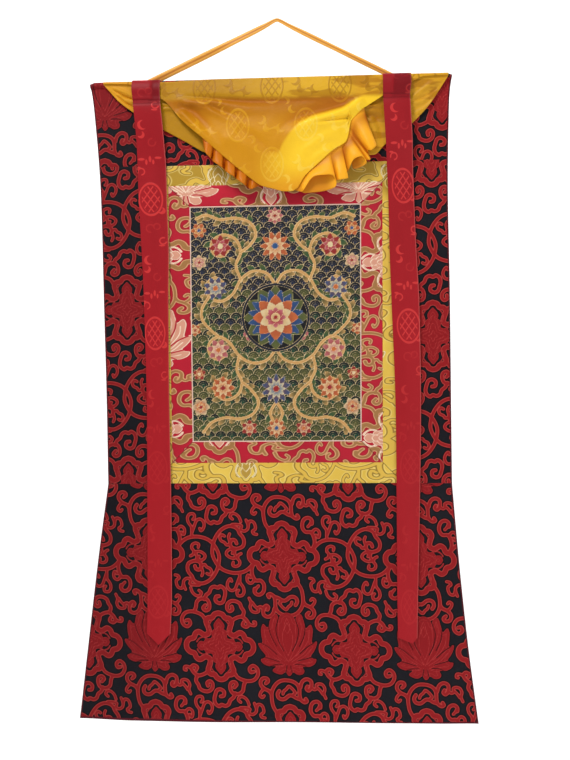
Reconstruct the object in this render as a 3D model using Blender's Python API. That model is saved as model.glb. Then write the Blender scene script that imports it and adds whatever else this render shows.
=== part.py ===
"""A thangka: a painted scroll in a silk brocade mount, its silk cover lifted and held by two ribbons.

Metres, +Z up. The front faces -Y. The origin is the bend of the hanging tape, from which it all hangs.
Every cloth piece starts as a grid that a function lays in place, and gets its thickness from Solidify.
"""
import math
from collections import namedtuple

import bmesh
import bpy
from mathutils import Vector

for old in list(bpy.data.objects):
    bpy.data.objects.remove(old, do_unlink=True)

# Driving sizes: the mount and the frame round the painting
TOP_Z = -0.1020          # the top of the sleeve, below the tape's bend
TOP_SEAM_Z = -0.2455     # the top panel meets the yellow frame and the side panels
WAIST_Z = -0.7875        # the side panels and the frame meet the lower panel
HEM_Z = -1.1890
CLOTH_Y = -0.0120        # the middle of the mount's cloth
BROCADE_THICK = 0.0016
SLEEVE_R = 0.0052        # the round sleeve along the top edge
HEM_TALL = 0.0110
HEM_THICK = 0.0032
SEAM_GAP = 0.0003        # between sewn neighbours

PAINTING_WIDE = 0.2890
PAINTING_TALL = 0.4000
PAINTING_X = -0.0057     # its middle
PAINTING_TOP_Z = -0.3165
PAINTING_THICK = 0.0012
PIPING_R = 0.0011
PIPING_SLOT = 0.0028     # the width that the piping takes between the painting and the red frame
RED_WIDE = 0.0352        # the inner strips of the frame
YELLOW_WIDE = 0.0345     # the outer strips of the frame
FRAME_SPREAD = 0.04      # the frame widens upwards by this share of a metre for each metre

# Driving sizes: the cover, the ribbons and the tape
VEIL_THICK = 0.0010
VEIL_TOP_Z = -0.1035     # the middle of its turned top edge
VEIL_FOLD_R = 0.0016
VEIL_BACK_Y = -0.0165
VEIL_SLEEVE_Y = -0.0191  # the cover's back layer where it passes the sleeve
PINCH_LEFT = -0.1990     # where the lifted cover is tucked behind each ribbon
PINCH_RIGHT = 0.1720
RIBBON_THICK = 0.0010
TAPE_WIDE = 0.0070

Edge = namedtuple("Edge", "z left right")
UPPER_EDGES = (
    Edge(-0.1020, -0.3200, 0.2930),
    Edge(-0.1450, -0.3140, 0.2880),
    Edge(-0.3020, -0.3030, 0.2845),
    Edge(-0.4730, -0.2995, 0.2862),
    Edge(-0.6440, -0.2960, 0.2866),
    Edge(-0.7875, -0.2945, 0.2870),
)
SKIRT_EDGES = (
    Edge(-0.7875, -0.2945, 0.2870),
    Edge(-0.9170, -0.3138, 0.2975),
    Edge(-1.0540, -0.3323, 0.3112),
    Edge(-1.1890, -0.3457, 0.3265),
)


def through(rows, key, value):
    """The smooth function that joins one column of a table to another, without overshoot."""
    points = sorted((getattr(r, key), getattr(r, value)) for r in rows)
    xs, ys = zip(*points)
    steps = [(ys[i + 1] - ys[i]) / (xs[i + 1] - xs[i]) for i in range(len(xs) - 1)]
    slopes = [steps[0]]
    for a, b in zip(steps, steps[1:]):
        slopes.append(2 * a * b / (a + b) if a * b > 0 else 0.0)
    slopes.append(steps[-1])

    def value_at(x):
        x = min(max(x, xs[0]), xs[-1])
        i = max(0, min(len(xs) - 2, sum(k <= x for k in xs) - 1))
        wide = xs[i + 1] - xs[i]
        t = (x - xs[i]) / wide
        return (
            (2 * t**3 - 3 * t**2 + 1) * ys[i]
            + (t**3 - 2 * t**2 + t) * wide * slopes[i]
            + (3 * t**2 - 2 * t**3) * ys[i + 1]
            + (t**3 - t**2) * wide * slopes[i + 1]
        )

    return value_at


def curve_through(knots, share):
    """The place at a share of the way along the smooth curve through some knots of equal width."""
    at = [0.0]
    for a, b in zip(knots, knots[1:]):
        at.append(at[-1] + math.dist(a, b))
    x = share * at[-1]
    i = max(0, min(len(at) - 2, sum(k <= x for k in at) - 1))

    def slope(k):
        low, high = max(k - 1, 0), min(k + 1, len(at) - 1)
        return [(b - a) / (at[high] - at[low]) for a, b in zip(knots[low], knots[high])]

    wide = at[i + 1] - at[i]
    t = (x - at[i]) / wide
    return [
        (2 * t**3 - 3 * t**2 + 1) * a
        + (t**3 - 2 * t**2 + t) * wide * m
        + (3 * t**2 - 2 * t**3) * b
        + (t**3 - t**2) * wide * n
        for a, b, m, n in zip(knots[i], knots[i + 1], slope(i), slope(i + 1))
    ]


def ease(low, high, x):
    """0 below low, 1 above high, smooth between."""
    t = min(max((x - low) / (high - low), 0.0), 1.0)
    return t * t * (3 - 2 * t)


def lerp(a, b, t):
    return a + (b - a) * t


def relief(x, z):
    """The depth of the hung mount: flat under the cover, a soft belly, the skirt's corners curling back."""
    drop = (TOP_Z - z) / (TOP_Z - HEM_Z)
    belly = -0.0022 * ease(0.15, 0.45, drop) * math.cos(3.1 * x)
    ripple = 0.0012 * ease(0.6, 0.9, drop) * math.sin(23.0 * x + 1.2)
    curl_left = 0.0085 * ease(0.62, 0.90, drop) * ease(0.255, 0.350, -x)
    curl_right = 0.0050 * ease(0.70, 0.95, drop) * ease(0.255, 0.340, x)
    lift = -0.0030 * ease(0.85, 1.0, drop) * math.exp(-((x / 0.16) ** 2))
    return CLOTH_Y + belly + ripple + curl_left + curl_right + lift


def material(name, colour, roughness):
    made = bpy.data.materials.new(name)
    made.use_nodes = True
    shader = made.node_tree.nodes["Principled BSDF"]
    shader.inputs["Base Color"].default_value = (*colour, 1.0)
    shader.inputs["Roughness"].default_value = roughness
    shader.inputs["Metallic"].default_value = 0.0
    return made


def cloth(name, columns, rows, place, thick, colour, roughness=0.6, thick_at=None):
    """A closed sheet: place(u, v) gives its middle surface, and thick_at(u, v) its thickness if it varies."""
    bm = bmesh.new()
    bmesh.ops.create_grid(bm, x_segments=columns, y_segments=rows, size=0.5)
    shares = [(v.co.x + 0.5, v.co.y + 0.5) for v in bm.verts]
    for vert, (u, v) in zip(bm.verts, shares):
        vert.co = place(u, v)
    mesh = bpy.data.meshes.new(name)
    bm.to_mesh(mesh)
    bm.free()
    mesh.shade_smooth()
    piece = bpy.data.objects.new(name, mesh)
    bpy.context.collection.objects.link(piece)
    mesh.materials.append(material(name, colour, roughness))
    solid = piece.modifiers.new("thickness", "SOLIDIFY")
    solid.offset = 0.0
    solid.thickness = thick
    if thick_at:
        most = max(thick_at(u, v) for u, v in shares)
        group = piece.vertex_groups.new(name="thickness")
        for index, (u, v) in enumerate(shares):
            group.add([index], thick_at(u, v) / most, "REPLACE")
        solid.thickness = most
        solid.vertex_group = group.name
        solid.thickness_vertex_group = 0.0
    return piece


# The brocade mount: a top panel with its round sleeve, two side panels and a flared lower panel

BLACK_BROCADE = (0.075, 0.012, 0.016)
upper_left = through(UPPER_EDGES, "z", "left")
upper_right = through(UPPER_EDGES, "z", "right")
skirt_left = through(SKIRT_EDGES, "z", "left")
skirt_right = through(SKIRT_EDGES, "z", "right")

SLEEVE_TURNS = 6         # rows of faces across the round sleeve
TOP_ROWS = 11
CORNER_DROP = 0.0025     # the sleeve's ends droop by this much


def top_row_z(v):
    """The height of a row of the top panel, counted from its seam (0) to the sleeve's top (1)."""
    row = round(v * TOP_ROWS)
    flat_rows = TOP_ROWS - SLEEVE_TURNS
    sleeve_low = TOP_Z - 2 * SLEEVE_R
    if row >= flat_rows:
        turn = math.pi * (row - flat_rows) / SLEEVE_TURNS
        return sleeve_low + SLEEVE_R * (1 - math.cos(turn)) * 0.998
    return lerp(TOP_SEAM_Z + SEAM_GAP / 2, sleeve_low - 0.0015, row / (flat_rows - 1))


def top_panel(u, v):
    z = top_row_z(v)
    x = lerp(upper_left(z), upper_right(z), u)
    droop = CORNER_DROP * ease(0.485, 0.5, abs(u - 0.5)) * ease(-0.125, TOP_Z, z)
    return Vector((x, relief(x, z), z - droop))


def top_thickness(u, v):
    rise = (top_row_z(v) - (TOP_Z - SLEEVE_R)) / SLEEVE_R
    return max(BROCADE_THICK, 2 * SLEEVE_R * math.sqrt(max(0.0, 1 - rise * rise)))


cloth("brocade_top", 22, TOP_ROWS, top_panel, BROCADE_THICK, BLACK_BROCADE, thick_at=top_thickness)


def frame_x(x, z):
    """The place across the mount of a point of the frame, which widens a little upwards."""
    middle = PAINTING_TOP_Z - PAINTING_TALL / 2
    return PAINTING_X + x * (1 + FRAME_SPREAD * (z - middle))


RED_INNER = PAINTING_WIDE / 2
RED_OUTER = RED_INNER + RED_WIDE
YELLOW_OUTER = RED_OUTER + YELLOW_WIDE


def side_panel(sign):
    edge = upper_left if sign < 0 else upper_right

    def place(u, v):
        z = lerp(WAIST_Z + SEAM_GAP / 2, TOP_SEAM_Z - SEAM_GAP / 2, v)
        inner = frame_x(sign * YELLOW_OUTER, z) + sign * SEAM_GAP / 2
        x = lerp(*((edge(z), inner) if sign < 0 else (inner, edge(z))), u)
        return Vector((x, relief(x, z), z))

    return place


cloth("brocade_left", 4, 12, side_panel(-1), BROCADE_THICK, BLACK_BROCADE)
cloth("brocade_right", 4, 12, side_panel(1), BROCADE_THICK, BLACK_BROCADE)

SKIRT_ROWS = 13
HEM_ROWS = 2             # the lowest rows hold the turned hem


def skirt_row_z(v):
    row = round(v * SKIRT_ROWS)
    if row <= HEM_ROWS:
        return HEM_Z + HEM_TALL * row / HEM_ROWS
    return lerp(HEM_Z + HEM_TALL, WAIST_Z - SEAM_GAP / 2, (row - HEM_ROWS) / (SKIRT_ROWS - HEM_ROWS))


def skirt(u, v):
    z = skirt_row_z(v)
    x = lerp(skirt_left(z), skirt_right(z), u)
    sag = 0.0012 * math.sin(9.0 * x + 0.5) * ease(-1.0, HEM_Z, z)
    return Vector((x, relief(x, z), z + sag))


def skirt_thickness(u, v):
    return HEM_THICK if round(v * SKIRT_ROWS) < HEM_ROWS else BROCADE_THICK


cloth("brocade_bottom", 22, SKIRT_ROWS, skirt, BROCADE_THICK, BLACK_BROCADE, thick_at=skirt_thickness)

# The frame: red strips and yellow strips round the painting, mitred at their corners

Band = namedtuple("Band", "name colour inner outer")
BANDS = (
    Band("red", (0.42, 0.055, 0.055), RED_INNER, RED_OUTER),
    Band("yellow", (0.66, 0.44, 0.09), RED_OUTER, YELLOW_OUTER),
)
HALF_TALL = PAINTING_TALL / 2
FRAME_MIDDLE_Z = PAINTING_TOP_Z - HALF_TALL


def mitred(inner, outer, side):
    """A strip of the frame between two rectangles round the painting, on one of its four sides."""
    near = inner + SEAM_GAP / 2
    far = outer - SEAM_GAP / 2
    grow = HALF_TALL - PAINTING_WIDE / 2     # from a half width to the half height beside it
    cut = SEAM_GAP * math.sqrt(0.5)          # the mitred ends stand this far from the diagonal

    def place(u, v):
        if side in ("top", "bottom"):
            up = 1 if side == "top" else -1
            half = lerp(near, far, v) - cut
            x = lerp(-half, half, u)
            z = FRAME_MIDDLE_Z + up * (lerp(near, far, v) + grow)
        else:
            out = 1 if side == "right" else -1
            half = lerp(near, far, v) + grow - cut
            x = out * lerp(near, far, v)
            z = FRAME_MIDDLE_Z + lerp(-half, half, u)
        x = frame_x(x, z)
        return Vector((x, relief(x, z), z))

    return place


for band in BANDS:
    for side, pieces_long in (("top", 10), ("bottom", 10), ("left", 14), ("right", 14)):
        strip = mitred(band.inner, band.outer, side)
        cloth(f"{band.name}_{side}", pieces_long, 1, strip, BROCADE_THICK, band.colour)

# The painting and the piping round it

PICTURE_HALF_WIDE = PAINTING_WIDE / 2 - PIPING_SLOT
PICTURE_HALF_TALL = HALF_TALL - PIPING_SLOT


def picture(u, v):
    z = FRAME_MIDDLE_Z + lerp(-PICTURE_HALF_TALL, PICTURE_HALF_TALL, v)
    x = frame_x(lerp(-PICTURE_HALF_WIDE, PICTURE_HALF_WIDE, u), z)
    return Vector((x, relief(x, z), z))


cloth("painting", 8, 12, picture, PAINTING_THICK, (0.12, 0.10, 0.06), 0.75)

PIPING_PIECES = 12


def piping(name, start, end):
    """A thin round cord that follows the mount from one place of the frame to another."""
    made = bpy.data.curves.new(name, "CURVE")
    made.dimensions = "3D"
    made.bevel_depth = PIPING_R
    made.bevel_resolution = 1
    made.use_fill_caps = True
    line = made.splines.new("POLY")
    line.points.add(PIPING_PIECES)
    for i, point in enumerate(line.points):
        z = FRAME_MIDDLE_Z + lerp(start[1], end[1], i / PIPING_PIECES)
        x = frame_x(lerp(start[0], end[0], i / PIPING_PIECES), z)
        point.co = (x, relief(x, z), z, 1.0)
    made.materials.append(material(name, (0.72, 0.60, 0.50), 0.6))
    cord = bpy.data.objects.new(name, made)
    bpy.context.collection.objects.link(cord)


out_x = PAINTING_WIDE / 2 - PIPING_SLOT / 2
out_z = HALF_TALL - PIPING_SLOT / 2
between = out_z - PIPING_R - SEAM_GAP
for name, sign in (("top", 1), ("bottom", -1)):
    piping(f"piping_{name}", (-out_x - PIPING_R, sign * out_z), (out_x + PIPING_R, sign * out_z))
for name, sign in (("left", -1), ("right", 1)):
    piping(f"piping_{name}", (sign * out_x, -between), (sign * out_x, between))

# The cover: one cloth that hangs behind, turns over the top edge, and is lifted in a swag in front

VEIL_LEFT = -0.2950
VEIL_RIGHT = 0.2860
Hem = namedtuple("Hem", "x z")
VEIL_BACK_HEM = (        # the lower edge of the layer that hangs behind
    Hem(-0.2950, -0.1080), Hem(-0.2840, -0.1205), Hem(-0.2700, -0.1362), Hem(-0.2450, -0.1555),
    Hem(-0.2020, -0.1835), Hem(-0.1220, -0.2330), Hem(-0.0780, -0.2400), Hem(0.1000, -0.2380),
    Hem(0.1620, -0.2355), Hem(0.1800, -0.2100), Hem(0.2270, -0.1840), Hem(0.2540, -0.1560),
    Hem(0.2720, -0.1300), Hem(0.2860, -0.1085),
)
VEIL_FRONT_HEM = (       # the lower edge of the lifted layer
    Hem(-0.2950, -0.1070), Hem(-0.2500, -0.1090), Hem(-0.2150, -0.1260), Hem(-0.1990, -0.1330),
    Hem(-0.1870, -0.1420), Hem(-0.1620, -0.1715), Hem(-0.1200, -0.2095), Hem(-0.0780, -0.2470),
    Hem(-0.0450, -0.2745), Hem(-0.0250, -0.2880), Hem(-0.0050, -0.2935), Hem(0.0110, -0.2975),
    Hem(0.0230, -0.2977), Hem(0.0330, -0.2930), Hem(0.0460, -0.2735), Hem(0.0690, -0.2520),
    Hem(0.0970, -0.2280), Hem(0.1180, -0.2180), Hem(0.1270, -0.2100), Hem(0.1340, -0.1790),
    Hem(0.1440, -0.1590), Hem(0.1720, -0.1430), Hem(0.1900, -0.1320), Hem(0.2250, -0.1180),
    Hem(0.2450, -0.1090), Hem(0.2860, -0.1075),
)
Swell = namedtuple("Swell", "down out")
VEIL_SWELL = (           # how far the swag's middle stands out, by its distance below the top edge
    Swell(0.000, 0.0000), Swell(0.028, 0.0040), Swell(0.042, 0.0036), Swell(0.060, 0.0075),
    Swell(0.095, 0.0125), Swell(0.145, 0.0115), Swell(0.200, 0.0090),
)
back_hem = through(VEIL_BACK_HEM, "x", "z")
front_hem = through(VEIL_FRONT_HEM, "x", "z")
swell_out = through(VEIL_SWELL, "down", "out")

Crease = namedtuple("Crease", "wide rise line")
SWAG_CREASES = (         # ridges stand out by rise, and troughs have a rise below zero
    Crease(0.0060, -0.0020, ((-0.188, -0.1327), (-0.120, -0.1370), (-0.044, -0.1432), (0.039, -0.1446),
                             (0.114, -0.1425), (0.169, -0.1389))),
    Crease(0.0065, 0.0025, ((-0.183, -0.1328), (-0.120, -0.1412), (-0.068, -0.1523), (0.0, -0.1570))),
    Crease(0.0080, -0.0035, ((-0.156, -0.1504), (-0.142, -0.1558), (-0.129, -0.1695), (-0.117, -0.1833))),
    Crease(0.0070, 0.0030, ((-0.168, -0.1517), (-0.153, -0.1689), (-0.136, -0.1862), (-0.117, -0.2051))),
    Crease(0.0085, 0.0060, ((0.149, -0.1434), (0.131, -0.1545), (0.111, -0.1673), (0.086, -0.1750),
                            (0.061, -0.1810), (0.039, -0.1888), (0.022, -0.2018), (0.004, -0.2314))),
    Crease(0.0120, -0.0050, ((0.126, -0.1461), (0.098, -0.1553), (0.069, -0.1629), (0.039, -0.1721),
                             (0.016, -0.1832), (-0.003, -0.1995), (-0.015, -0.2176))),
)
WING_CREASES = (
    Crease(0.0035, 0.0014, ((-0.281, -0.1100), (-0.259, -0.1216), (-0.244, -0.1291), (-0.219, -0.1388))),
    Crease(0.0035, 0.0014, ((-0.274, -0.1220), (-0.259, -0.1340), (-0.243, -0.1381), (-0.219, -0.1439))),
    Crease(0.0035, 0.0014, ((0.279, -0.1120), (0.256, -0.1208), (0.223, -0.1455), (0.206, -0.1533))),
    Crease(0.0035, 0.0014, ((0.269, -0.1384), (0.252, -0.1579), (0.226, -0.1711), (0.209, -0.1735))),
)


def crease_height(creases, x, z):
    """The sum of some soft ridges and troughs at a place."""
    height = 0.0
    for crease in creases:
        nearest = 1.0
        for (ax, az), (bx, bz) in zip(crease.line, crease.line[1:]):
            long = (bx - ax) ** 2 + (bz - az) ** 2
            t = min(max(((x - ax) * (bx - ax) + (z - az) * (bz - az)) / long, 0.0), 1.0)
            nearest = min(nearest, math.hypot(x - lerp(ax, bx, t), z - lerp(az, bz, t)))
        height += crease.rise * math.exp(-((nearest / crease.wide) ** 2))
    return height


def swag_y(x, z):
    """The depth of the lifted layer: it swells out between the two places where it is tucked."""
    across = min(max((x - PINCH_LEFT) / (PINCH_RIGHT - PINCH_LEFT), 0.0), 1.0)
    swell = math.sin(math.pi * across) ** 0.8
    flat = VEIL_SLEEVE_Y - 2 * VEIL_FOLD_R
    below = ease(0.0, 0.02, VEIL_TOP_Z - z)
    return flat - swell * swell_out(VEIL_TOP_Z - z) - below * crease_height(SWAG_CREASES, x, z)


def veil_back_y(x, z):
    past_sleeve = ease(0.010, 0.030, VEIL_TOP_Z - z)
    return lerp(VEIL_SLEEVE_Y, VEIL_BACK_Y, past_sleeve) - past_sleeve * crease_height(WING_CREASES, x, z)


BACK_ROWS = 6
FOLD_ROWS = 4
FRONT_ROWS = 12
VEIL_ROWS = BACK_ROWS + FOLD_ROWS + FRONT_ROWS


def veil(u, v):
    x = lerp(VEIL_LEFT, VEIL_RIGHT, u)
    row = round(v * VEIL_ROWS)
    if row <= BACK_ROWS:
        z = lerp(back_hem(x), VEIL_TOP_Z, row / BACK_ROWS)
        return Vector((x, veil_back_y(x, z), z))
    if row < BACK_ROWS + FOLD_ROWS:
        turn = math.pi * (row - BACK_ROWS) / FOLD_ROWS
        y = VEIL_SLEEVE_Y - VEIL_FOLD_R * (1 - math.cos(turn))
        return Vector((x, y, VEIL_TOP_Z + VEIL_FOLD_R * math.sin(turn)))
    z = lerp(VEIL_TOP_Z, front_hem(x), (row - BACK_ROWS - FOLD_ROWS) / FRONT_ROWS)
    return Vector((x, swag_y(x, z), z))


cloth("veil", 56, VEIL_ROWS, veil, VEIL_THICK, (0.62, 0.28, 0.03), 0.45)

# The ruffle along the cover's lower edge, pleated by hand: a row for each fold's ridge or valley

Fold = namedtuple("Fold", "root_x root_z hem_x hem_z hem_y")
RIDGE = -0.0345
VALLEY = -0.0265
DEEP_RIDGE = -0.0375
DEEP_VALLEY = -0.0250
BEHIND_TIP = -0.0275     # where it passes behind the tip of the lifted layer
TUCKED = -0.0215         # where it goes in behind the right ribbon
FOLDS = (
    Fold(-0.1290, -0.1990, -0.1290, -0.2190, VALLEY), Fold(-0.1110, -0.2098, -0.1146, -0.2366, RIDGE),
    Fold(-0.1009, -0.2184, -0.1079, -0.2434, VALLEY), Fold(-0.0942, -0.2253, -0.0945, -0.2538, RIDGE),
    Fold(-0.0808, -0.2373, -0.0861, -0.2607, VALLEY), Fold(-0.0724, -0.2442, -0.0743, -0.2694, RIDGE),
    Fold(-0.0624, -0.2529, -0.0693, -0.2745, VALLEY), Fold(-0.0507, -0.2615, -0.0576, -0.2831, RIDGE),
    Fold(-0.0390, -0.2701, -0.0459, -0.2918, VALLEY),
    Fold(-0.0286, -0.2767, -0.0321, -0.2877, BEHIND_TIP),
    Fold(-0.0120, -0.2790, -0.0120, -0.2880, BEHIND_TIP),
    Fold(0.0140, -0.2800, 0.0140, -0.2900, BEHIND_TIP),
    Fold(0.0340, -0.2790, 0.0370, -0.2990, BEHIND_TIP),
    Fold(0.0516, -0.2620, 0.0560, -0.3013, DEEP_RIDGE),
    Fold(0.0600, -0.2545, 0.0680, -0.2950, DEEP_VALLEY), Fold(0.0885, -0.2290, 0.0950, -0.2955, DEEP_RIDGE),
    Fold(0.1003, -0.2215, 0.1030, -0.2790, DEEP_VALLEY), Fold(0.1086, -0.2165, 0.1181, -0.2825, DEEP_RIDGE),
    Fold(0.1180, -0.2080, 0.1230, -0.2640, DEEP_VALLEY), Fold(0.1250, -0.1950, 0.1372, -0.2545, DEEP_RIDGE),
    Fold(0.1300, -0.1780, 0.1446, -0.2440, DEEP_VALLEY), Fold(0.1407, -0.1600, 0.1583, -0.2355, DEEP_RIDGE),
    Fold(0.1500, -0.1540, 0.1700, -0.2320, VALLEY), Fold(0.1640, -0.1480, 0.1860, -0.2150, TUCKED),
)
BEHIND_SWAG = 0.0027     # the ruffle's root lies this far behind the lifted layer
FRILL_ROWS = 4
roots = [(f.root_x, f.root_z, swag_y(f.root_x, f.root_z) + BEHIND_SWAG) for f in FOLDS]
hems = [(f.hem_x, f.hem_z, f.hem_y) for f in FOLDS]


def frill(u, v):
    root_x, root_z, root_y = curve_through(roots, u)
    hem_x, hem_z, hem_y = curve_through(hems, u)
    fall = 1 - v
    out = ease(0.2, 1.1, fall)           # it stays behind the lifted layer until it is past its edge
    return Vector((lerp(root_x, hem_x, fall), lerp(root_y, hem_y, out), lerp(root_z, hem_z, fall)))


cloth("veil_frill", 92, FRILL_ROWS, frill, VEIL_THICK, (0.72, 0.28, 0.03), 0.5)

# The two ribbons: turned over the top edge, down over the tucked cover, and free on the mount below

Strip = namedtuple("Strip", "z y left right")
OVER_THE_TOP = (         # the short back end and the turn, in depth and height alone
    (-0.1200, -0.0055), (-0.1080, -0.0050), (-0.1010, -0.0072), (-0.0982, -0.0140), (-0.0992, -0.0215),
    (-0.1030, -0.0262), (-0.1100, -0.0280),
)
LEFT_RIBBON = (
    Strip(-0.1200, -0.0280, -0.2430, -0.1978), Strip(-0.1320, -0.0270, -0.2424, -0.1980),
    Strip(-0.1500, -0.0290, -0.2417, -0.1973), Strip(-0.1750, -0.0272, -0.2410, -0.1966),
    Strip(-0.2100, -0.0215, -0.2404, -0.1960), Strip(-0.2500, -0.0172, -0.2396, -0.1956),
    Strip(-0.3052, -0.0168, -0.2388, -0.1952), Strip(-0.3900, -0.0176, -0.2360, -0.1920),
    Strip(-0.4747, -0.0178, -0.2335, -0.1890), Strip(-0.6441, -0.0174, -0.2298, -0.1871),
    Strip(-0.8134, -0.0180, -0.2279, -0.1852), Strip(-0.9827, -0.0172, -0.2277, -0.1858),
    Strip(-1.0405, -0.0166, -0.2290, -0.1889),
)
RIGHT_RIBBON = (
    Strip(-0.1200, -0.0280, 0.1810, 0.2270), Strip(-0.1380, -0.0270, 0.1809, 0.2258),
    Strip(-0.1560, -0.0290, 0.1815, 0.2254), Strip(-0.1804, -0.0290, 0.1822, 0.2252),
    Strip(-0.2150, -0.0272, 0.1836, 0.2256), Strip(-0.2500, -0.0215, 0.1850, 0.2261),
    Strip(-0.3138, -0.0174, 0.1876, 0.2274), Strip(-0.3950, -0.0168, 0.1902, 0.2292),
    Strip(-0.4806, -0.0178, 0.1928, 0.2309), Strip(-0.6472, -0.0172, 0.1964, 0.2344),
    Strip(-0.8138, -0.0178, 0.1966, 0.2330), Strip(-0.9805, -0.0170, 0.1960, 0.2282),
    Strip(-1.0440, -0.0168, 0.1962, 0.2269),
)
RIBBON_COLUMNS = 4
RIBBON_ROWS = 46
TURN_ROWS = 18           # the rows of faces in the turn over the top edge and the tuck below it
TURN_SHARE = 0.125       # and the share of the ribbon's length that they take


def ribbon(table, point_at, point_long):
    """A ribbon down its table of places, its foot cut to a point at a share of its width."""
    first = table[0]
    knots = [(z, y, first.left, first.right) for z, y in OVER_THE_TOP]
    for row in table:
        sunk = relief((row.left + row.right) / 2, row.z) - CLOTH_Y
        knots.append((row.z, row.y + sunk, row.left, row.right))

    def place(u, v):
        row = round((1 - v) * RIBBON_ROWS)
        share = TURN_SHARE * row / TURN_ROWS
        if row > TURN_ROWS:
            share = lerp(TURN_SHARE, 1.0, (row - TURN_ROWS) / (RIBBON_ROWS - TURN_ROWS))
        z, y, left, right = curve_through(knots, share)
        if row == RIBBON_ROWS:
            z -= point_long * min(u / point_at, (1 - u) / (1 - point_at))
        x = lerp(left, right, u)
        cup = 0.0010 * math.cos(math.pi * (u - 0.5)) * ease(0.0, 0.1, 1 - v)
        return Vector((x, y - cup, z))

    return place


RIBBON_RED = (0.36, 0.018, 0.024)
left_ribbon = ribbon(LEFT_RIBBON, 0.5, 0.0190)
right_ribbon = ribbon(RIGHT_RIBBON, 0.75, 0.0095)
cloth("ribbon_left", RIBBON_COLUMNS, RIBBON_ROWS, left_ribbon, RIBBON_THICK, RIBBON_RED, 0.4)
cloth("ribbon_right", RIBBON_COLUMNS, RIBBON_ROWS, right_ribbon, RIBBON_THICK, RIBBON_RED, 0.4)

# The hanging tape: both its ends are sewn behind the sleeve, and its bend is the origin

TAPE_ROUTE = (
    (-0.2320, 0.0, -0.1069), (-0.2053, 0.0, -0.0946), (-0.1500, 0.0, -0.0694), (-0.0900, 0.0, -0.0417),
    (-0.0400, 0.0, -0.0187), (-0.0180, 0.0, -0.0082), (-0.0080, 0.0, -0.0028), (0.0, 0.0, 0.0),
    (0.0080, 0.0, -0.0032), (0.0180, 0.0, -0.0091), (0.0400, 0.0, -0.0207), (0.0900, 0.0, -0.0467),
    (0.1400, 0.0, -0.0727), (0.1871, 0.0, -0.0971), (0.2110, 0.0, -0.1095),
)
TAPE_POINTS = 60

tape = bpy.data.curves.new("hanging_tape", "CURVE")
tape.dimensions = "3D"
tape.bevel_depth = TAPE_WIDE / 2
tape.bevel_resolution = 2
tape.use_fill_caps = True
run = tape.splines.new("POLY")
run.points.add(TAPE_POINTS - 1)
for index, point in enumerate(run.points):
    point.co = (*curve_through(TAPE_ROUTE, index / (TAPE_POINTS - 1)), 1.0)
tape.materials.append(material("hanging_tape", (0.75, 0.36, 0.05), 0.5))
tape_object = bpy.data.objects.new("hanging_tape", tape)
bpy.context.collection.objects.link(tape_object)
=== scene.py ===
"""The looks of a thangka: a painted scroll in a silk brocade mount, with its silk cover lifted.

Metres, +Z up. The front faces -Y, and the origin is the bend of the hanging tape.
"""

import math
from collections import namedtuple

import bmesh
import bpy
import numpy as np
from mathutils import Matrix, Vector


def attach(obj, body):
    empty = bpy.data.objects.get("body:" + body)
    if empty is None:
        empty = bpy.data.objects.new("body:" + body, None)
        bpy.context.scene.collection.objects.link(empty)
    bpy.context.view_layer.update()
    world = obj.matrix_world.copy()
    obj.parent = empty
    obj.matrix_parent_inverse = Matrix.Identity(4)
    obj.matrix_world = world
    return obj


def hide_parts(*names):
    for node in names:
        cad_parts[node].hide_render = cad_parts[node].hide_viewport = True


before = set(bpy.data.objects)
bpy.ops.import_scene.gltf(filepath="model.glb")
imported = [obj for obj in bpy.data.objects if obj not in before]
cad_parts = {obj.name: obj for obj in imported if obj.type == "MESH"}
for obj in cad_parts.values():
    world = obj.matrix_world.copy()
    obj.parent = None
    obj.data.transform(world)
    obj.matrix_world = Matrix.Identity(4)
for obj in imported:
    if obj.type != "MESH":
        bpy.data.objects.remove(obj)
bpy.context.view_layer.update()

# Camera: level with the middle of the scroll and a little to its right, 1.7 m away.

CAMERA_AT = Vector((0.1165, -1.6966, -0.6123))
CAMERA_LOOKS = Vector((-0.06366, 0.99797, 0.0))
CAMERA_ROLL = math.radians(-0.5)

level = CAMERA_LOOKS.cross(Vector((0, 0, 1))).normalized()
upright = level.cross(CAMERA_LOOKS)
camera_right = math.cos(CAMERA_ROLL) * level + math.sin(CAMERA_ROLL) * upright
camera_up = math.cos(CAMERA_ROLL) * upright - math.sin(CAMERA_ROLL) * level
camera = bpy.data.objects.new("camera", bpy.data.cameras.new("camera"))
camera.data.sensor_fit = "VERTICAL"
camera.data.sensor_height = 36.0
camera.data.lens = 47.37
turned = Matrix((camera_right, camera_up, -CAMERA_LOOKS)).transposed().to_4x4()
camera.matrix_world = Matrix.Translation(CAMERA_AT) @ turned
bpy.context.collection.objects.link(camera)
bpy.context.scene.camera = camera
bpy.context.scene.view_settings.view_transform = "Standard"


# The hanging tape: golden silk folded lengthwise and sewn down its middle, so that it has two ridges
# and a groove. Both ends are sewn behind the sleeve, and the bend in its middle takes the whole weight.


def linear(shares):
    """Screen colours from 0 to 1, as a shader takes them."""
    return np.where(shares <= 0.04, shares / 12.92, ((shares + 0.055) / 1.055) ** 2.4)


def dye(*screen):
    """The colour of three screen values from 0 to 255."""
    return (*linear(np.array(screen) / 255), 1.0)


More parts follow.
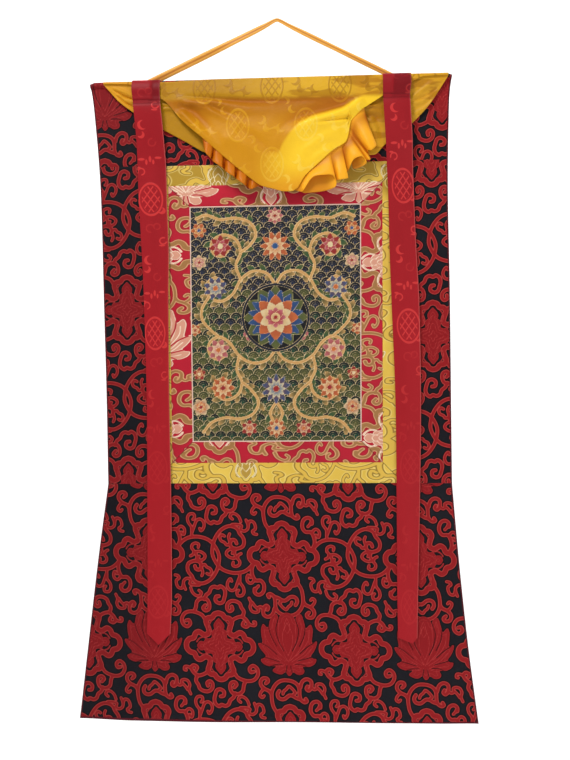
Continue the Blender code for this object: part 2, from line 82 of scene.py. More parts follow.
class Wire:
    """A node's output. Sums and products of wires are written as plain arithmetic."""

    def __init__(self, socket):
        self.socket = socket

    def maths(self, operation, *values):
        node = self.socket.id_data.nodes.new("ShaderNodeMath")
        node.operation = operation
        for socket, value in zip(node.inputs, values):
            plug(socket, value)
        return Wire(node.outputs[0])

    def __add__(self, other):
        return self.maths("ADD", self, other)

    __radd__ = __add__

    def __mul__(self, other):
        return self.maths("MULTIPLY", self, other)

    __rmul__ = __mul__

    def __sub__(self, other):
        return self.maths("SUBTRACT", self, other)

    def __rsub__(self, other):
        return self.maths("SUBTRACT", other, self)

    def under(self, level, soft):
        """1 where the value lies under a level and 0 above it, over a soft step."""
        node = self.socket.id_data.nodes.new("ShaderNodeMapRange")
        node.interpolation_type = "SMOOTHSTEP"
        plug(node.inputs["Value"], self)
        ends = {"From Min": level - soft, "From Max": level + soft, "To Min": 1.0, "To Max": 0.0}
        for name, value in ends.items():
            plug(node.inputs[name], value)
        return Wire(node.outputs["Result"])


def plug(socket, value):
    """Links a wire to a socket, or sets the socket to a number or a colour."""
    if isinstance(value, Wire):
        socket.id_data.links.new(value.socket, socket)
    else:
        socket.default_value = value


class Finish:
    """A cloth's material, and the nodes that its colour and its weave are made of."""

    def __init__(self, name, **constants):
        self.material = bpy.data.materials.new(name)
        self.material.use_nodes = True
        self.tree = self.material.node_tree
        self.shader = self.tree.nodes["Principled BSDF"]
        self.wear(**constants)
        self.place = self.node("ShaderNodeTexCoord", output="Object")

    def node(self, kind, settings=(), output=0, **sockets):
        made = self.tree.nodes.new(kind)
        for key, value in dict(settings).items():
            setattr(made, key, value)
        for key, value in sockets.items():
            plug(made.inputs[key.replace("_", " ")], value)
        return Wire(made.outputs[output])

    def wear(self, **sockets):
        for key, value in sockets.items():
            plug(self.shader.inputs[key.replace("_", " ")], value)

    def value(self, name, output="Fac"):
        return self.node("ShaderNodeAttribute", {"attribute_name": name}, output=output)

    def axis(self, name):
        return self.node("ShaderNodeSeparateXYZ", output=name, Vector=self.place)

    def mix(self, share, first, second):
        made = self.tree.nodes.new("ShaderNodeMix")
        made.data_type = "RGBA"
        for index, value in ((0, share), (6, first), (7, second)):
            plug(made.inputs[index], value)
        return Wire(made.outputs[2])

    def mottle(self, scale, detail=2.0, stretch=(1.0, 1.0, 1.0)):
        placed = self.node("ShaderNodeMapping", Vector=self.place, Scale=stretch)
        return self.node("ShaderNodeTexNoise", Vector=placed, Scale=scale, Detail=detail)

    def raise_by(self, height, distance):
        self.wear(Normal=self.node("ShaderNodeBump", Strength=1.0, Distance=distance, Height=height))


def least(first, *others):
    for other in others:
        first = first.maths("MINIMUM", first, other)
    return first


def tenths(rows):
    """A table in metres from one in tenths of a millimetre."""
    return np.array(rows, float) / 10000


def hermite(t, wide, start, end, start_slope, end_slope):
    """The smooth way from one value to the next, at a share t of a step of some width."""
    return (
        (2 * t**3 - 3 * t**2 + 1) * start
        + (t**3 - 2 * t**2 + t) * wide * start_slope
        + (3 * t**2 - 2 * t**3) * end
        + (t**3 - t**2) * wide * end_slope
    )


def through(table, column=1):
    """The smooth function from a table's first column to another one, without overshoot."""
    xs, ys = table[np.argsort(table[:, 0])][:, (0, column)].T
    steps = np.diff(ys) / np.diff(xs)
    slopes = np.zeros(len(xs))
    slopes[0], slopes[-1] = steps[0], steps[-1]
    same = steps[:-1] * steps[1:] > 0
    slopes[1:-1][same] = (2 * steps[:-1] * steps[1:] / (steps[:-1] + steps[1:] + 1e-30))[same]

    def value_at(x):
        x = np.clip(x, xs[0], xs[-1])
        i = np.clip(np.searchsorted(xs, x, "right") - 1, 0, len(xs) - 2)
        wide = xs[i + 1] - xs[i]
        return hermite((x - xs[i]) / wide, wide, ys[i], ys[i + 1], slopes[i], slopes[i + 1])

    return value_at


def lengths(knots):
    """How far along the straight steps from knot to knot each knot lies."""
    return np.concatenate(([0.0], np.cumsum(np.linalg.norm(np.diff(knots, axis=0), axis=1))))


def curve_through(knots, shares):
    """The places at some shares of the way along the smooth curve through some knots."""
    knots = np.array(knots, float)
    along = lengths(knots)
    low = np.maximum(np.arange(len(along)) - 1, 0)
    high = np.minimum(np.arange(len(along)) + 1, len(along) - 1)
    slopes = (knots[high] - knots[low]) / (along[high] - along[low])[:, None]
    x = np.asarray(shares, float) * along[-1]
    i = np.clip(np.searchsorted(along, x, "right") - 1, 0, len(along) - 2)
    wide = (along[i + 1] - along[i])[..., None]
    t = (x - along[i])[..., None] / wide
    return hermite(t, wide, knots[i], knots[i + 1], slopes[i], slopes[i + 1])


def ease(low, high, x):
    """0 below low, 1 above high, smooth between."""
    t = np.clip((np.asarray(x, float) - low) / (high - low), 0.0, 1.0)
    return t * t * (3 - 2 * t)


def lerp(a, b, t):
    return a + (b - a) * t


def bump(x, wide):
    """A soft hill, 1 at nought."""
    return np.exp(-((x / wide) ** 2))


Spot = namedtuple("Spot", "u v w x y z")   # a mesh point's shares of the cloth, and its place


def object_of(name, bm, place, finish, values=()):
    """Makes an object of a bmesh whose points hold shares: place(u, v, w) gives their places, in rows."""
    mesh = bpy.data.meshes.new(name)
    bm.to_mesh(mesh)
    bm.free()
    shares = np.empty(len(mesh.vertices) * 3)
    mesh.vertices.foreach_get("co", shares)
    u, v, w = shares.reshape(-1, 3).T
    u, v = u + 0.5, v + 0.5
    places = place(u, v, w)
    mesh.vertices.foreach_set("co", np.stack(places, 1).ravel())
    for key, of in dict(values).items():
        value = np.asarray(of(Spot(u, v, w, *places)), np.float32)
        plain = value.ndim == 1
        stored = mesh.attributes.new(key, "FLOAT" if plain else "FLOAT_COLOR", "POINT")
        stored.data.foreach_set("value" if plain else "color", value.ravel())
    mesh.update()
    mesh.shade_smooth()
    mesh.materials.append(finish.material)
    made = bpy.data.objects.new(name, mesh)
    bpy.context.collection.objects.link(made)
    return made


def piece_of(name, bm, place, finish, values=(), thick=None, sharp=50):
    """Makes a piece of the scroll, and gives an open cloth its thickness."""
    piece = object_of(name, bm, place, finish, values)
    piece.data.set_sharp_from_angle(angle=math.radians(sharp))
    if thick:
        cloth = piece.modifiers.new("cloth", "SOLIDIFY")
        cloth.thickness = thick
        cloth.offset = 0.0
        cloth.use_even_offset = False
    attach(piece, "root")
    return piece


def grid(columns, rows):
    bm = bmesh.new()
    bmesh.ops.create_grid(bm, x_segments=columns, y_segments=rows, size=0.5)
    return bm


TAPE_DEEP = 0.0034
TAPE_HALF_SEWN = 0.0062      # half its width at its left end, where it lies flat
TAPE_HALF_DRAWN = 0.0046     # and where it is drawn tight
TAPE_GRID = (220, 20)        # faces along it and round it
TAPE_ROUTE = tenths((
    (-2320, 0, -1069), (-2053, 0, -946), (-1500, 0, -694), (-900, 0, -417), (-400, 0, -187),
    (-180, 0, -82), (-80, 0, -28), (0, 0, 0), (80, 0, -32), (180, 0, -91), (400, 0, -207),
    (900, 0, -467), (1400, 0, -727), (1871, 0, -971), (2110, 0, -1095),
))

tape_line = curve_through(TAPE_ROUTE, np.linspace(0, 1, 400))


def tape(u, v, w):
    """Two soft ridges side by side, in front and behind, along the route."""
    on = curve_through(TAPE_ROUTE, u)
    ahead = curve_through(TAPE_ROUTE, np.minimum(u + 0.002, 1))
    ahead -= curve_through(TAPE_ROUTE, np.maximum(u - 0.002, 0))
    ahead /= np.linalg.norm(ahead, axis=1)[:, None]
    turn = 2 * np.pi * v
    across = np.cos(turn)
    ridge = 0.55 + 0.45 * np.sin(np.pi * np.clip(np.abs(across) * 1.15, 0, 1))
    twist = 0.25 * np.sin(7 * u + 0.6) + 0.10 * np.sin(31 * u)
    half = lerp(TAPE_HALF_SEWN, TAPE_HALF_DRAWN, ease(0.1, 0.7, u))
    wide = half * across * (1 - 0.3 * bump(u - 0.52, 0.06))
    deep = TAPE_DEEP / 2 * np.sin(turn) * ridge
    side = wide * np.cos(twist) - deep * np.sin(twist)
    out = wide * np.sin(twist) + deep * np.cos(twist)
    return on[:, 0] - side * ahead[:, 2], on[:, 1] - out, on[:, 2] + side * ahead[:, 0]


bm = grid(*TAPE_GRID)
wrapped = {}
for vert in bm.verts:
    wrapped.setdefault(round(vert.co.x, 6), {})[round(vert.co.y, 6)] = vert
seam = {ends[max(ends)]: ends[min(ends)] for ends in wrapped.values()}
bmesh.ops.weld_verts(bm, targetmap=seam)
bmesh.ops.holes_fill(bm, edges=[e for e in bm.edges if e.is_boundary], sides=0)

tape_finish = Finish("golden_tape", Roughness=0.42)
shine = tape_finish.mottle(900.0)
golden = tape_finish.mix(shine, dye(226, 148, 30), dye(252, 190, 80))
# Painted shade: the groove down the tape's middle is coloured darker.
golden = tape_finish.mix(tape_finish.value("painted_groove_shade").under(0.24, 0.2), golden, dye(196, 116, 22))
tape_finish.wear(Base_Color=golden)
tape_finish.raise_by(shine, 0.0004)
hanging_tape = piece_of(
    "tape_folded", bm, tape, tape_finish, {"painted_groove_shade": lambda at: np.abs(np.cos(2 * np.pi * at.v))}
)
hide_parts("hanging_tape")
round(lengths(tape_line)[-1], 3)
[tuple(p) for p in tape_line[::4]]


# The brocade mount: black silk with a raised red pattern of rings, cloud scrolls, four-lobed flowers and
# lotuses. A top panel turned round into a sleeve, two side panels and a flared lower panel with a hem.

TOP_Z = -0.1020
TOP_SEAM_Z = -0.2455
WAIST_Z = -0.7875
HEM_Z = -1.1890
CLOTH_Y = -0.0120
BROCADE_THICK = 0.0016
SLEEVE_R = 0.0052
SLEEVE_FROM = 0.86       # the share of the top panel's height at which its sleeve starts
HEM_TALL = 0.0110
HEM_THICK = 0.0032
SEAM_LAP = 0.0005        # sewn neighbours go this far into each other, so that no light shows through
FRAME_LAP = 0.0020       # and the panels above and below the frame go this far over its edge
PAINTING_WIDE = 0.2890
PAINTING_TALL = 0.4000
PAINTING_X = -0.0057
PAINTING_TOP_Z = -0.3165
RED_WIDE = 0.0352
YELLOW_WIDE = 0.0345
FRAME_SPREAD = 0.04
RED_INNER = PAINTING_WIDE / 2
RED_OUTER = RED_INNER + RED_WIDE
YELLOW_OUTER = RED_OUTER + YELLOW_WIDE
HALF_TALL = PAINTING_TALL / 2
FRAME_MIDDLE_Z = PAINTING_TOP_Z - HALF_TALL
ROLL = 0.0016            # cloth edges turn away over this width
FRONT_CUTS = 9           # each face of a cloth's front is cut this often each way, to hold its pattern

# Heights, and the mount's left and right edge there.
UPPER_EDGES = tenths((
    (-1020, -3200, 2930), (-1450, -3140, 2880), (-3020, -3030, 2845), (-4730, -2995, 2862),
    (-6440, -2960, 2866), (-7875, -2945, 2870),
))
SKIRT_EDGES = tenths((
    (-7875, -2945, 2870), (-9170, -3138, 2975), (-10540, -3323, 3112), (-11890, -3492, 3280),
))
upper_left, upper_right = through(UPPER_EDGES, 1), through(UPPER_EDGES, 2)
skirt_left, skirt_right = through(SKIRT_EDGES, 1), through(SKIRT_EDGES, 2)


def relief(x, z):
    """The depth of the hung mount: flat under the cover, a soft belly, the skirt's corners curling back."""
    drop = (TOP_Z - z) / (TOP_Z - HEM_Z)
    belly = -0.0022 * ease(0.15, 0.45, drop) * np.cos(3.1 * x)
    ripple = 0.0012 * ease(0.6, 0.9, drop) * np.sin(23.0 * x + 1.2)
    curl_left = 0.0085 * ease(0.62, 0.90, drop) * ease(0.255, 0.350, -x)
    curl_right = 0.0050 * ease(0.70, 0.95, drop) * ease(0.255, 0.340, x)
    lift = -0.0030 * ease(0.85, 1.0, drop) * bump(x, 0.16)
    return CLOTH_Y + belly + ripple + curl_left + curl_right + lift


def frame_x(x, z):
    return PAINTING_X + x * (1 + FRAME_SPREAD * (z - FRAME_MIDDLE_Z))


def fine_front(columns, rows, cuts=FRONT_CUTS):
    """A closed cloth in shares: w runs from 0 on its front to 1 behind, and only the front is fine."""
    bm = grid(columns, rows)
    bmesh.ops.solidify(bm, geom=bm.faces[:], thickness=1.0)
    face = max(v.co.z for v in bm.verts) - 1e-4
    front = [e for e in bm.edges if all(v.co.z > face for v in e.verts)]
    bmesh.ops.subdivide_edges(bm, edges=front, cuts=cuts, use_grid_fill=True)
    bmesh.ops.recalc_face_normals(bm, faces=bm.faces[:])
    for vert in bm.verts:
        vert.co.z = 0.0 if vert.co.z > face else 1.0
    return bm


# The repeat, charted in millimetres round a four-lobed flower at nought. It turns into itself by a half turn
# round either kind of flower, and round the crossing of two rings. Only the lotus between them stays upright.

REPEAT_WIDE = 228.6
REPEAT_TALL = 308.9
HALF_DROP = (114.3, -154.5)
LOBE_LINE = 4.6          # half widths of the woven lines
RING = 3.15
SCROLL = 3.2
SPRIG = 2.65
PRONG = 1.2

RING_LINES = (
    ((-23, 46), (-28, 55), (-30, 66), (-30, 77), (-27, 86), (-21, 94), (-13, 99), (-3, 100), (7, 98),
     (14, 93), (17, 85), (17, 76), (19, 68), (25, 64), (29, 66), (27, 70)),
    ((53, 16), (60, 23), (69, 28), (81, 30), (92, 29), (103, 25), (111, 18), (117, 8), (120, -2),
     (119, -13), (116, -24), (109, -36), (101, -44), (90, -49), (81, -48), (75, -44), (72, -37), (67, -31),
     (65, -24), (67, -16), (74, -12), (82, -11), (88, -15), (89, -21), (85, -26), (80, -25), (78, -20)),
    ((92, -198), (86, -202), (77, -205), (71, -203), (66, -198), (64, -192), (68, -188), (74, -191),
     (72, -196)),
    ((138, -200), (142, -206), (150, -210), (161, -212), (171, -209), (177, -200), (176, -191), (169, -186),
     (163, -191), (165, -197), (170, -196)),
)
SCROLL_LINES = (
    ((-17, 82), (-20, 77), (-19, 71), (-14, 68), (-8, 69), (-3, 73), (1, 75), (6, 74), (11, 71), (17, 69)),
    ((19, 89), (21, 96), (25, 101), (31, 103), (37, 100), (38, 94), (36, 87), (32, 84), (29, 87), (31, 91)),
    ((-30, 75), (-34, 81), (-42, 85), (-47, 90), (-48, 96), (-44, 102), (-37, 102), (-35, 98), (-39, 94)),
    ((51, 56), (51, 62), (46, 66), (39, 64), (35, 57), (35, 48), (40, 42), (48, 42), (52, 37), (54, 30),
     (54, 22), (51, 15)),
    ((73, -206), (71, -214), (75, -221), (77, -227), (84, -231), (92, -231), (98, -226), (99, -218),
     (95, -214), (90, -217), (91, -222)),
    ((155, -212), (152, -220), (150, -229), (143, -234), (133, -233), (129, -226), (130, -217), (136, -214),
     (140, -218), (136, -223)),
    ((137, -233), (134, -240), (128, -245), (125, -252), (119, -255), (113, -253), (109, -256), (103, -252),
     (101, -245), (103, -236), (106, -229), (112, -227), (118, -231), (117, -238), (112, -239)),
)
SPRIG_LINES = (
    ((-11, 77), (-9, 82), (-5, 85), (-1, 90), (3, 88), (7, 84), (10, 79), (7, 77)),
    ((38, 90), (42, 86), (46, 88), (46, 94), (51, 96), (57, 94), (60, 87), (58, 80), (61, 72)),
    ((48, 89), (52, 85), (56, 79)),
    ((-42, 85), (-48, 79), (-50, 73), (-46, 70), (-43, 73)),
    ((44, 51), (47, 54), (50, 59)),
    ((52, 35), (52, 43), (57, 47), (62, 44), (63, 38), (61, 33), (57, 37)),
    ((75, 30), (75, 38), (75, 46), (70, 54), (69, 62), (73, 68), (80, 68), (81, 62), (78, 59)),
    ((76, 38), (80, 48), (84, 57), (89, 60), (94, 58), (97, 51), (95, 44), (91, 40), (89, 44)),
    ((88, -19), (95, -17), (98, -21), (104, -24), (106, -30), (102, -34), (98, -32)),
    ((90, -25), (91, -31), (89, -36)),
    ((85, 12), (86, 17), (81, 19), (75, 16), (74, 10), (77, 6), (76, 0), (71, -3)),
    ((77, 3), (84, 5), (90, 4), (96, -1), (95, -6), (89, -10), (84, -7), (86, -3)),
    ((80, 3), (82, -4), (81, -12)),
    ((84, -52), (75, -52), (68, -50), (70, -44), (64, -41), (58, -45), (57, -51), (60, -60)),
    ((57, -50), (54, -58), (48, -57), (45, -51), (45, -45), (50, -41), (48, -37), (43, -36)),
    ((69, -57), (72, -65), (78, -70), (84, -70), (87, -65), (83, -61)),
    ((65, -195), (59, -191), (53, -191), (52, -196), (55, -197)),
)
LOBED_QUARTER = (
    (0, 56), (7, 53.5), (11, 48), (18, 47), (21.5, 41), (19, 33), (17, 25), (19, 20.5), (25.5, 18.5),
    (35, 23.5), (40.5, 20.5), (44, 13), (51, 11), (56, 5.5), (57, 0),
)
BUDDED_QUARTER = (
    (0, 48), (3, 45), (6.5, 41), (9, 36.5), (9, 32), (7.5, 29), (11, 27), (14, 22), (12.5, 17),
    (13.5, 13.5), (18, 12.5), (22, 13), (25.5, 10), (27, 6.5), (30, 8), (34, 7.5), (37, 4), (39, 0),
)
PRONG_UPRIGHT = ((14, 22), (16.5, 28), (17, 34), (14.5, 40), (11, 44))
PRONG_LEVEL = ((22, 13), (28, 14.5), (33, 13), (37, 9.5), (39, 6))
LOTUS = (
    (-13, -109), (-11, -102), (-5, -97), (1, -95), (8, -97), (13, -102), (15, -109), (17, -101), (21, -97),
    (26, -98), (29, -107), (33, -121), (36, -118), (41, -114), (44, -122), (43, -133), (42, -145),
    (50, -142), (49, -150), (44, -160), (39, -167), (42, -171), (48, -172), (45, -180), (36, -185),
    (24, -186), (27, -192), (24, -198), (15, -199), (8, -195), (5, -199), (1, -202), (-2, -199), (-5, -195),
    (-11, -199), (-20, -198), (-27, -193), (-20, -186), (-32, -186), (-42, -182), (-46, -175), (-41, -173),
    (-37, -169), (-42, -162), (-47, -155), (-49, -148), (-42, -147), (-43, -135), (-43, -123), (-39, -115),
    (-33, -121), (-30, -119), (-28, -110), (-23, -101), (-17, -97), (-14, -101),
)
LOTUS_VEINS = (
    ((1, -178), (-8, -160), (-13, -140), (-13, -120), (-13, -109)),
    ((1, -178), (10, -160), (15, -140), (15, -120), (15, -109)),
    ((1, -168), (-6, -150), (-7, -130), (1, -112)), ((1, -168), (8, -150), (9, -130), (1, -112)),
    ((-2, -176), (-18, -158), (-27, -138), (-30, -119)), ((4, -176), (20, -158), (29, -138), (32, -119)),
    ((-4, -178), (-24, -164), (-36, -152), (-42, -147)), ((6, -178), (26, -164), (36, -152), (42, -145)),
    ((-6, -182), (-22, -174), (-37, -169)), ((8, -182), (24, -174), (39, -167)),
    ((-6, -184), (-12, -186), (-20, -186)), ((8, -184), (14, -186), (24, -186)),
    ((-2, -182), (-4, -190), (-5, -195)), ((4, -182), (7, -190), (8, -195)),
    ((-21, -107), (-23, -122), (-17, -143), (-8, -160)), ((22, -107), (25, -122), (19, -143), (10, -160)),
    ((-37, -126), (-35, -140), (-25, -155), (-12, -168)), ((37, -126), (36, -140), (27, -155), (14, -168)),
    ((-38, -155), (-26, -168), (-12, -176)), ((40, -155), (28, -168), (14, -176)),
    ((-36, -177), (-22, -180), (-10, -184)), ((38, -177), (24, -180), (12, -184)),
    ((1, -104), (-4, -118), (1, -130), (6, -118), (1, -104)),
)
PETAL_GAPS = (
    ((15, -105), (20, -124), (16, -144), (8, -160)), ((-13, -105), (-18, -124), (-14, -144), (-6, -160)),
    ((32, -116), (29, -134), (20, -152)), ((-31, -116), (-27, -134), (-18, -152)),
    ((46, -144), (34, -152), (20, -164)), ((-46, -146), (-32, -154), (-18, -166)),
    ((43, -168), (30, -172), (16, -176)), ((-43, -170), (-28, -174), (-14, -178)),
    ((34, -187), (24, -182), (12, -182)), ((-32, -187), (-20, -183), (-10, -183)),
    ((7, -197), (5, -190), (4, -184)), ((-5, -197), (-3, -190), (-2, -184)),
)
CHART_STEP = 0.6         # the chart is worked out once on a net of this step, and read between its points
LINE_REACH = 6.0         # and it holds no distance from a line that is greater than this
BLOOM_REACH = 9.0

net_columns, net_rows = round(REPEAT_WIDE / CHART_STEP), round(REPEAT_TALL / CHART_STEP)
step_x, step_z = REPEAT_WIDE / net_columns, REPEAT_TALL / net_rows


def smooth_line(points, pieces=4):
    return curve_through(points, np.linspace(0, 1, pieces * (len(points) - 1) + 1))


def four_quarters(quarter):
    """A closed outline from its upper right quarter."""
    half = np.concatenate((quarter, (np.array(quarter) * (1, -1))[::-1][1:]))
    return np.concatenate((half, (half * (-1, 1))[::-1][1:]))


def mirrored(points):
    points = np.array(points, float)
    return [points * (s, t) for s in (1, -1) for t in (1, -1)]


def to_segment(x, z, start, end):
    """The share of a straight line's length at which it is nearest to places, and their offset from there."""
    (ax, az), (bx, bz) = start, end
    dx, dz = bx - ax, bz - az
    t = np.clip(((x - ax) * dx + (z - az) * dz) / max(dx * dx + dz * dz, 1e-9), 0, 1)
    return t, x - ax - t * dx, z - az - t * dz


def net_span(low, high, step):
    """The numbers of the net's points from one place to another, and one more on either side."""
    return np.arange(int(low / step) - 1, int(high / step) + 2)


def line_net(lines, reach=LINE_REACH):
    """The distance to the nearest of some lines, less its half width, at each point of the net."""
    net = np.full((net_columns, net_rows), reach)
    for half, line in lines:
        for start, end in zip(line[:-1], line[1:]):
            low, high = np.minimum(start, end) - reach - half, np.maximum(start, end) + reach + half
            i, j = net_span(low[0], high[0], step_x), net_span(low[1], high[1], step_z)
            offset = to_segment((i * step_x)[:, None], (j * step_z)[None, :], start, end)[1:]
            block = np.ix_(i % net_columns, j % net_rows)
            net[block] = np.minimum(net[block], np.hypot(*offset) - half)
    return net


def shape_net(outline):
    """The distance to a closed outline, below zero inside it."""
    edge = line_net([(0.0, np.concatenate((outline, outline[:1])))], BLOOM_REACH)
    low, high = outline.min(0), outline.max(0)
    i, j = net_span(low[0], high[0], step_x), net_span(low[1], high[1], step_z)
    px, pz = (i * step_x)[:, None], (j * step_z)[None, :]
    within = np.zeros((len(i), len(j)), bool)
    for (ax, az), (bx, bz) in zip(outline, np.roll(outline, -1, 0)):
        within ^= ((az > pz) != (bz > pz)) & (px < ax + (pz - az) * (bx - ax) / (bz - az + 1e-12))
    block = np.ix_(i % net_columns, j % net_rows)
    edge[block] = np.where(within, -edge[block], edge[block])
    return edge


def set_out(lines):
    """Half widths and lines at both of a repeat's flowers."""
    return [(half, line + middle) for half, line in lines for middle in ((0, 0), HALF_DROP)]


lines = [
    (half, turn * smooth_line(line))
    for half, group in ((RING, RING_LINES), (SCROLL, SCROLL_LINES), (SPRIG, SPRIG_LINES))
    for line in group
    for turn in (1, -1)
]
lobed = smooth_line(four_quarters(LOBED_QUARTER))
budded = four_quarters(BUDDED_QUARTER)
prongs = [(PRONG, smooth_line(line)) for half in (PRONG_UPRIGHT, PRONG_LEVEL) for line in mirrored(half)]
blooms = [shape_net(line) for half, line in set_out([(0.0, budded)])]
blooms += [shape_net(smooth_line(LOTUS, 3)), line_net(set_out(prongs), BLOOM_REACH)]
veins = [(0.0, smooth_line(vein)) for vein in LOTUS_VEINS]
veins += set_out([(0.0, budded * share) for share in (0.72, 0.45, 0.2)])
chart = {"scroll": line_net(lines + set_out([(LOBE_LINE, lobed)])), "bloom": np.min(blooms, axis=0)}
chart["vein"] = np.minimum(line_net(veins), np.abs(chart["bloom"]))
chart["gap"] = line_net([(0.2, smooth_line(gap)) for gap in PETAL_GAPS])


def woven(key, x, z):
    """One of the chart's values at places of the repeat in millimetres, read smoothly from the net."""
    table = chart[key]
    i, j = (x / step_x) % net_columns, (z / step_z) % net_rows
    i0, j0 = np.floor(i).astype(int), np.floor(j).astype(int)
    s, t = i - i0, j - j0
    i0, j0 = i0 % net_columns, j0 % net_rows
    i1, j1 = (i0 + 1) % net_columns, (j0 + 1) % net_rows
    return lerp(lerp(table[i0, j0], table[i1, j0], s), lerp(table[i0, j1], table[i1, j1], s), t)


# Where a flower of the repeat lies on a piece, the steps to the next one to the right and below, and how
# much wider the space between the columns of flowers is woven.
Cut = namedtuple("Cut", "x z right down spread")
BESIDE, BELOW = (0.2287, 0.0), (0.0, -0.3087)
SKIRT_CUT = Cut(0.0035, -0.9095, (0.2287, -0.0050), (0.0117, -0.3087), 0.0)
LEFT_CUT = Cut(-0.3737, -0.3362, BESIDE, BELOW, 0.0)
RIGHT_CUT = Cut(0.1432, -0.3865, BESIDE, BELOW, 0.0)
TOP_CUT = Cut(-0.2960, 0.0170, BESIDE, BELOW, 0.0)


def behind(at):
    return at.w


def woven_values(cut, rim):
    """The values that a woven material reads: the chart's four, the distance to the rim, and which side."""
    (rx, rz), (dx, dz) = cut.right, cut.down
    spanned = rx * dz - rz * dx

    def of(key):
        def value(at):
            px, pz = at.x - cut.x, at.z - cut.z
            across = (px * dz - pz * dx) / spanned
            down = (rx * pz - rz * px) / spanned
            across = across + cut.spread * np.sin(4 * np.pi * across) / (4 * np.pi)
            return woven(key, across * REPEAT_WIDE, -down * REPEAT_TALL)

        return value

    return dict({key: of(key) for key in chart}, rim=rim, behind=behind)


black_brocade = Finish("black_brocade", Roughness=0.62, Specular_IOR_Level=0.12)
mix, value = black_brocade.mix, black_brocade.value
line, bloom, vein = value("scroll"), value("bloom"), value("vein")
threads = black_brocade.mottle(1400.0, stretch=(1.0, 1.0, 0.35))
on_line, on_bloom = line.under(0.0, 0.45), bloom.under(0.0, 0.45)
line_red = mix(line.under(-1.1, 0.5), dye(184, 62, 58), dye(150, 26, 30))
bloom_red = mix(vein.under(0.5, 0.45), dye(146, 24, 29), dye(186, 58, 57))
contour = bloom.maths("PINGPONG", bloom, 2.6).under(0.35, 0.4) * 0.45
bloom_red = mix(contour, bloom_red, dye(190, 60, 58))
bloom_red = mix(value("gap").under(0.7, 0.5) * 0.9, bloom_red, dye(32, 5, 9))
ground = mix(black_brocade.mottle(9.0, detail=3.0), dye(14, 14, 20), dye(32, 31, 38))
ground = mix(least(line, bloom).under(1.5, 0.6), ground, dye(4, 3, 6))
woven_red = mix(on_bloom, mix(on_line, ground, line_red), bloom_red)
# Painted shade: the brocade's pattern is darker towards the mount's left side.
woven_red = mix(black_brocade.axis("X").under(-0.20, 0.07) * 0.22, woven_red, dye(16, 8, 12))
hemmed = mix(value("rim").under(2.4, 0.7), woven_red, dye(88, 18, 30))
black_brocade.wear(Base_Color=mix(value("behind"), hemmed, dye(58, 16, 20)))
black_brocade.raise_by(on_line * 0.6 + on_bloom * 0.5 + vein.under(0.8, 0.7) * 0.25 + threads * 0.35, 0.0007)


def inward(share):
    """How far a share of a cloth's width lies from the nearer edge."""
    return np.minimum(share, 1 - share)


def layer(y, w, half, distance):
    """The depth of a cloth's front or back. Its front turns back at its edge, at a distance of nought."""
    rolled = 0.0007 * (1 - ease(0.0, ROLL, distance))
    return np.where(w > 0.5, y + half, y - half + rolled)


def top_panel(u, v, w):
    low = TOP_Z - 2 * SLEEVE_R - 0.0015
    seam = TOP_SEAM_Z - FRAME_LAP
    round_sleeve = low + (2 * SLEEVE_R + 0.0013) * np.sin(np.pi / 2 * (v - SLEEVE_FROM) / (1 - SLEEVE_FROM))
    z = np.where(v < SLEEVE_FROM, lerp(seam, low, v / SLEEVE_FROM), round_sleeve)
    x = lerp(upper_left(z), upper_right(z), u)
    rise = np.clip((z - (TOP_Z - SLEEVE_R)) / SLEEVE_R, -1, 1)
    half = np.maximum(BROCADE_THICK / 2, SLEEVE_R * np.sqrt(np.maximum(0, 1 - rise**2)))
    droop = 0.0025 * ease(0.485, 0.5, np.abs(u - 0.5)) * ease(-0.125, TOP_Z, z)
    edge = np.minimum(inward(u) * 0.6, z - seam)
    return x, layer(relief(x, z), w, half, edge), z - droop


def side_rim(at):
    return 1000 * np.minimum(at.x - upper_left(at.z), upper_right(at.z) - at.x)


top = piece_of("mount_top", fine_front(36, 9), top_panel, black_brocade, woven_values(TOP_CUT, side_rim))
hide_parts("brocade_top")


def side_panel(sign):
    def place(u, v, w):
        z = lerp(WAIST_Z - SEAM_LAP, TOP_SEAM_Z + SEAM_LAP, v)
        inner = frame_x(sign * YELLOW_OUTER, z) - sign * SEAM_LAP
        x = lerp(upper_left(z), inner, u) if sign < 0 else lerp(inner, upper_right(z), u)
        edge = np.minimum(inward(u) * 0.085, inward(v) * 0.54)
        return x, layer(relief(x, z), w, BROCADE_THICK / 2, edge), z

    return place


for side, sign, cut in (("left", -1, LEFT_CUT), ("right", 1, RIGHT_CUT)):
    woven_side = woven_values(cut, side_rim)
    panel = piece_of(f"mount_{side}", fine_front(5, 33), side_panel(sign), black_brocade, woven_side)
    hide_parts(f"brocade_{side}")


def skirt(u, v, w):
    z = lerp(HEM_Z, WAIST_Z + FRAME_LAP, v)
    x = lerp(skirt_left(z), skirt_right(z), u)
    sag = 0.0012 * np.sin(9.0 * x + 0.5) * ease(-1.0, HEM_Z, z)
    half = np.where(z < HEM_Z + HEM_TALL - 1e-5, HEM_THICK, BROCADE_THICK) / 2
    edge = np.minimum(inward(u) * 0.64, inward(v) * 0.40)
    return x, layer(relief(x, z), w, half, edge), z + sag


def skirt_rim(at):
    sides = np.minimum(at.x - skirt_left(at.z), skirt_right(at.z) - at.x)
    return 1000 * np.minimum(sides, (at.z - HEM_Z) * 0.8)


lower = piece_of("mount_skirt", fine_front(38, 24), skirt, black_brocade, woven_values(SKIRT_CUT, skirt_rim))
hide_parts("brocade_bottom")


# The frame: two rows of brocade strips round the picture, mitred at their corners. The inner strips are
# crimson with a gold pattern and pink lotuses, the outer ones yellow satin with an olive outline pattern.

BEHIND_PIPING = 0.0012   # the red strips go this far in under the piping
ACROSS_MITRE = 700       # millimetres from a mitre's seam for each metre along the strip


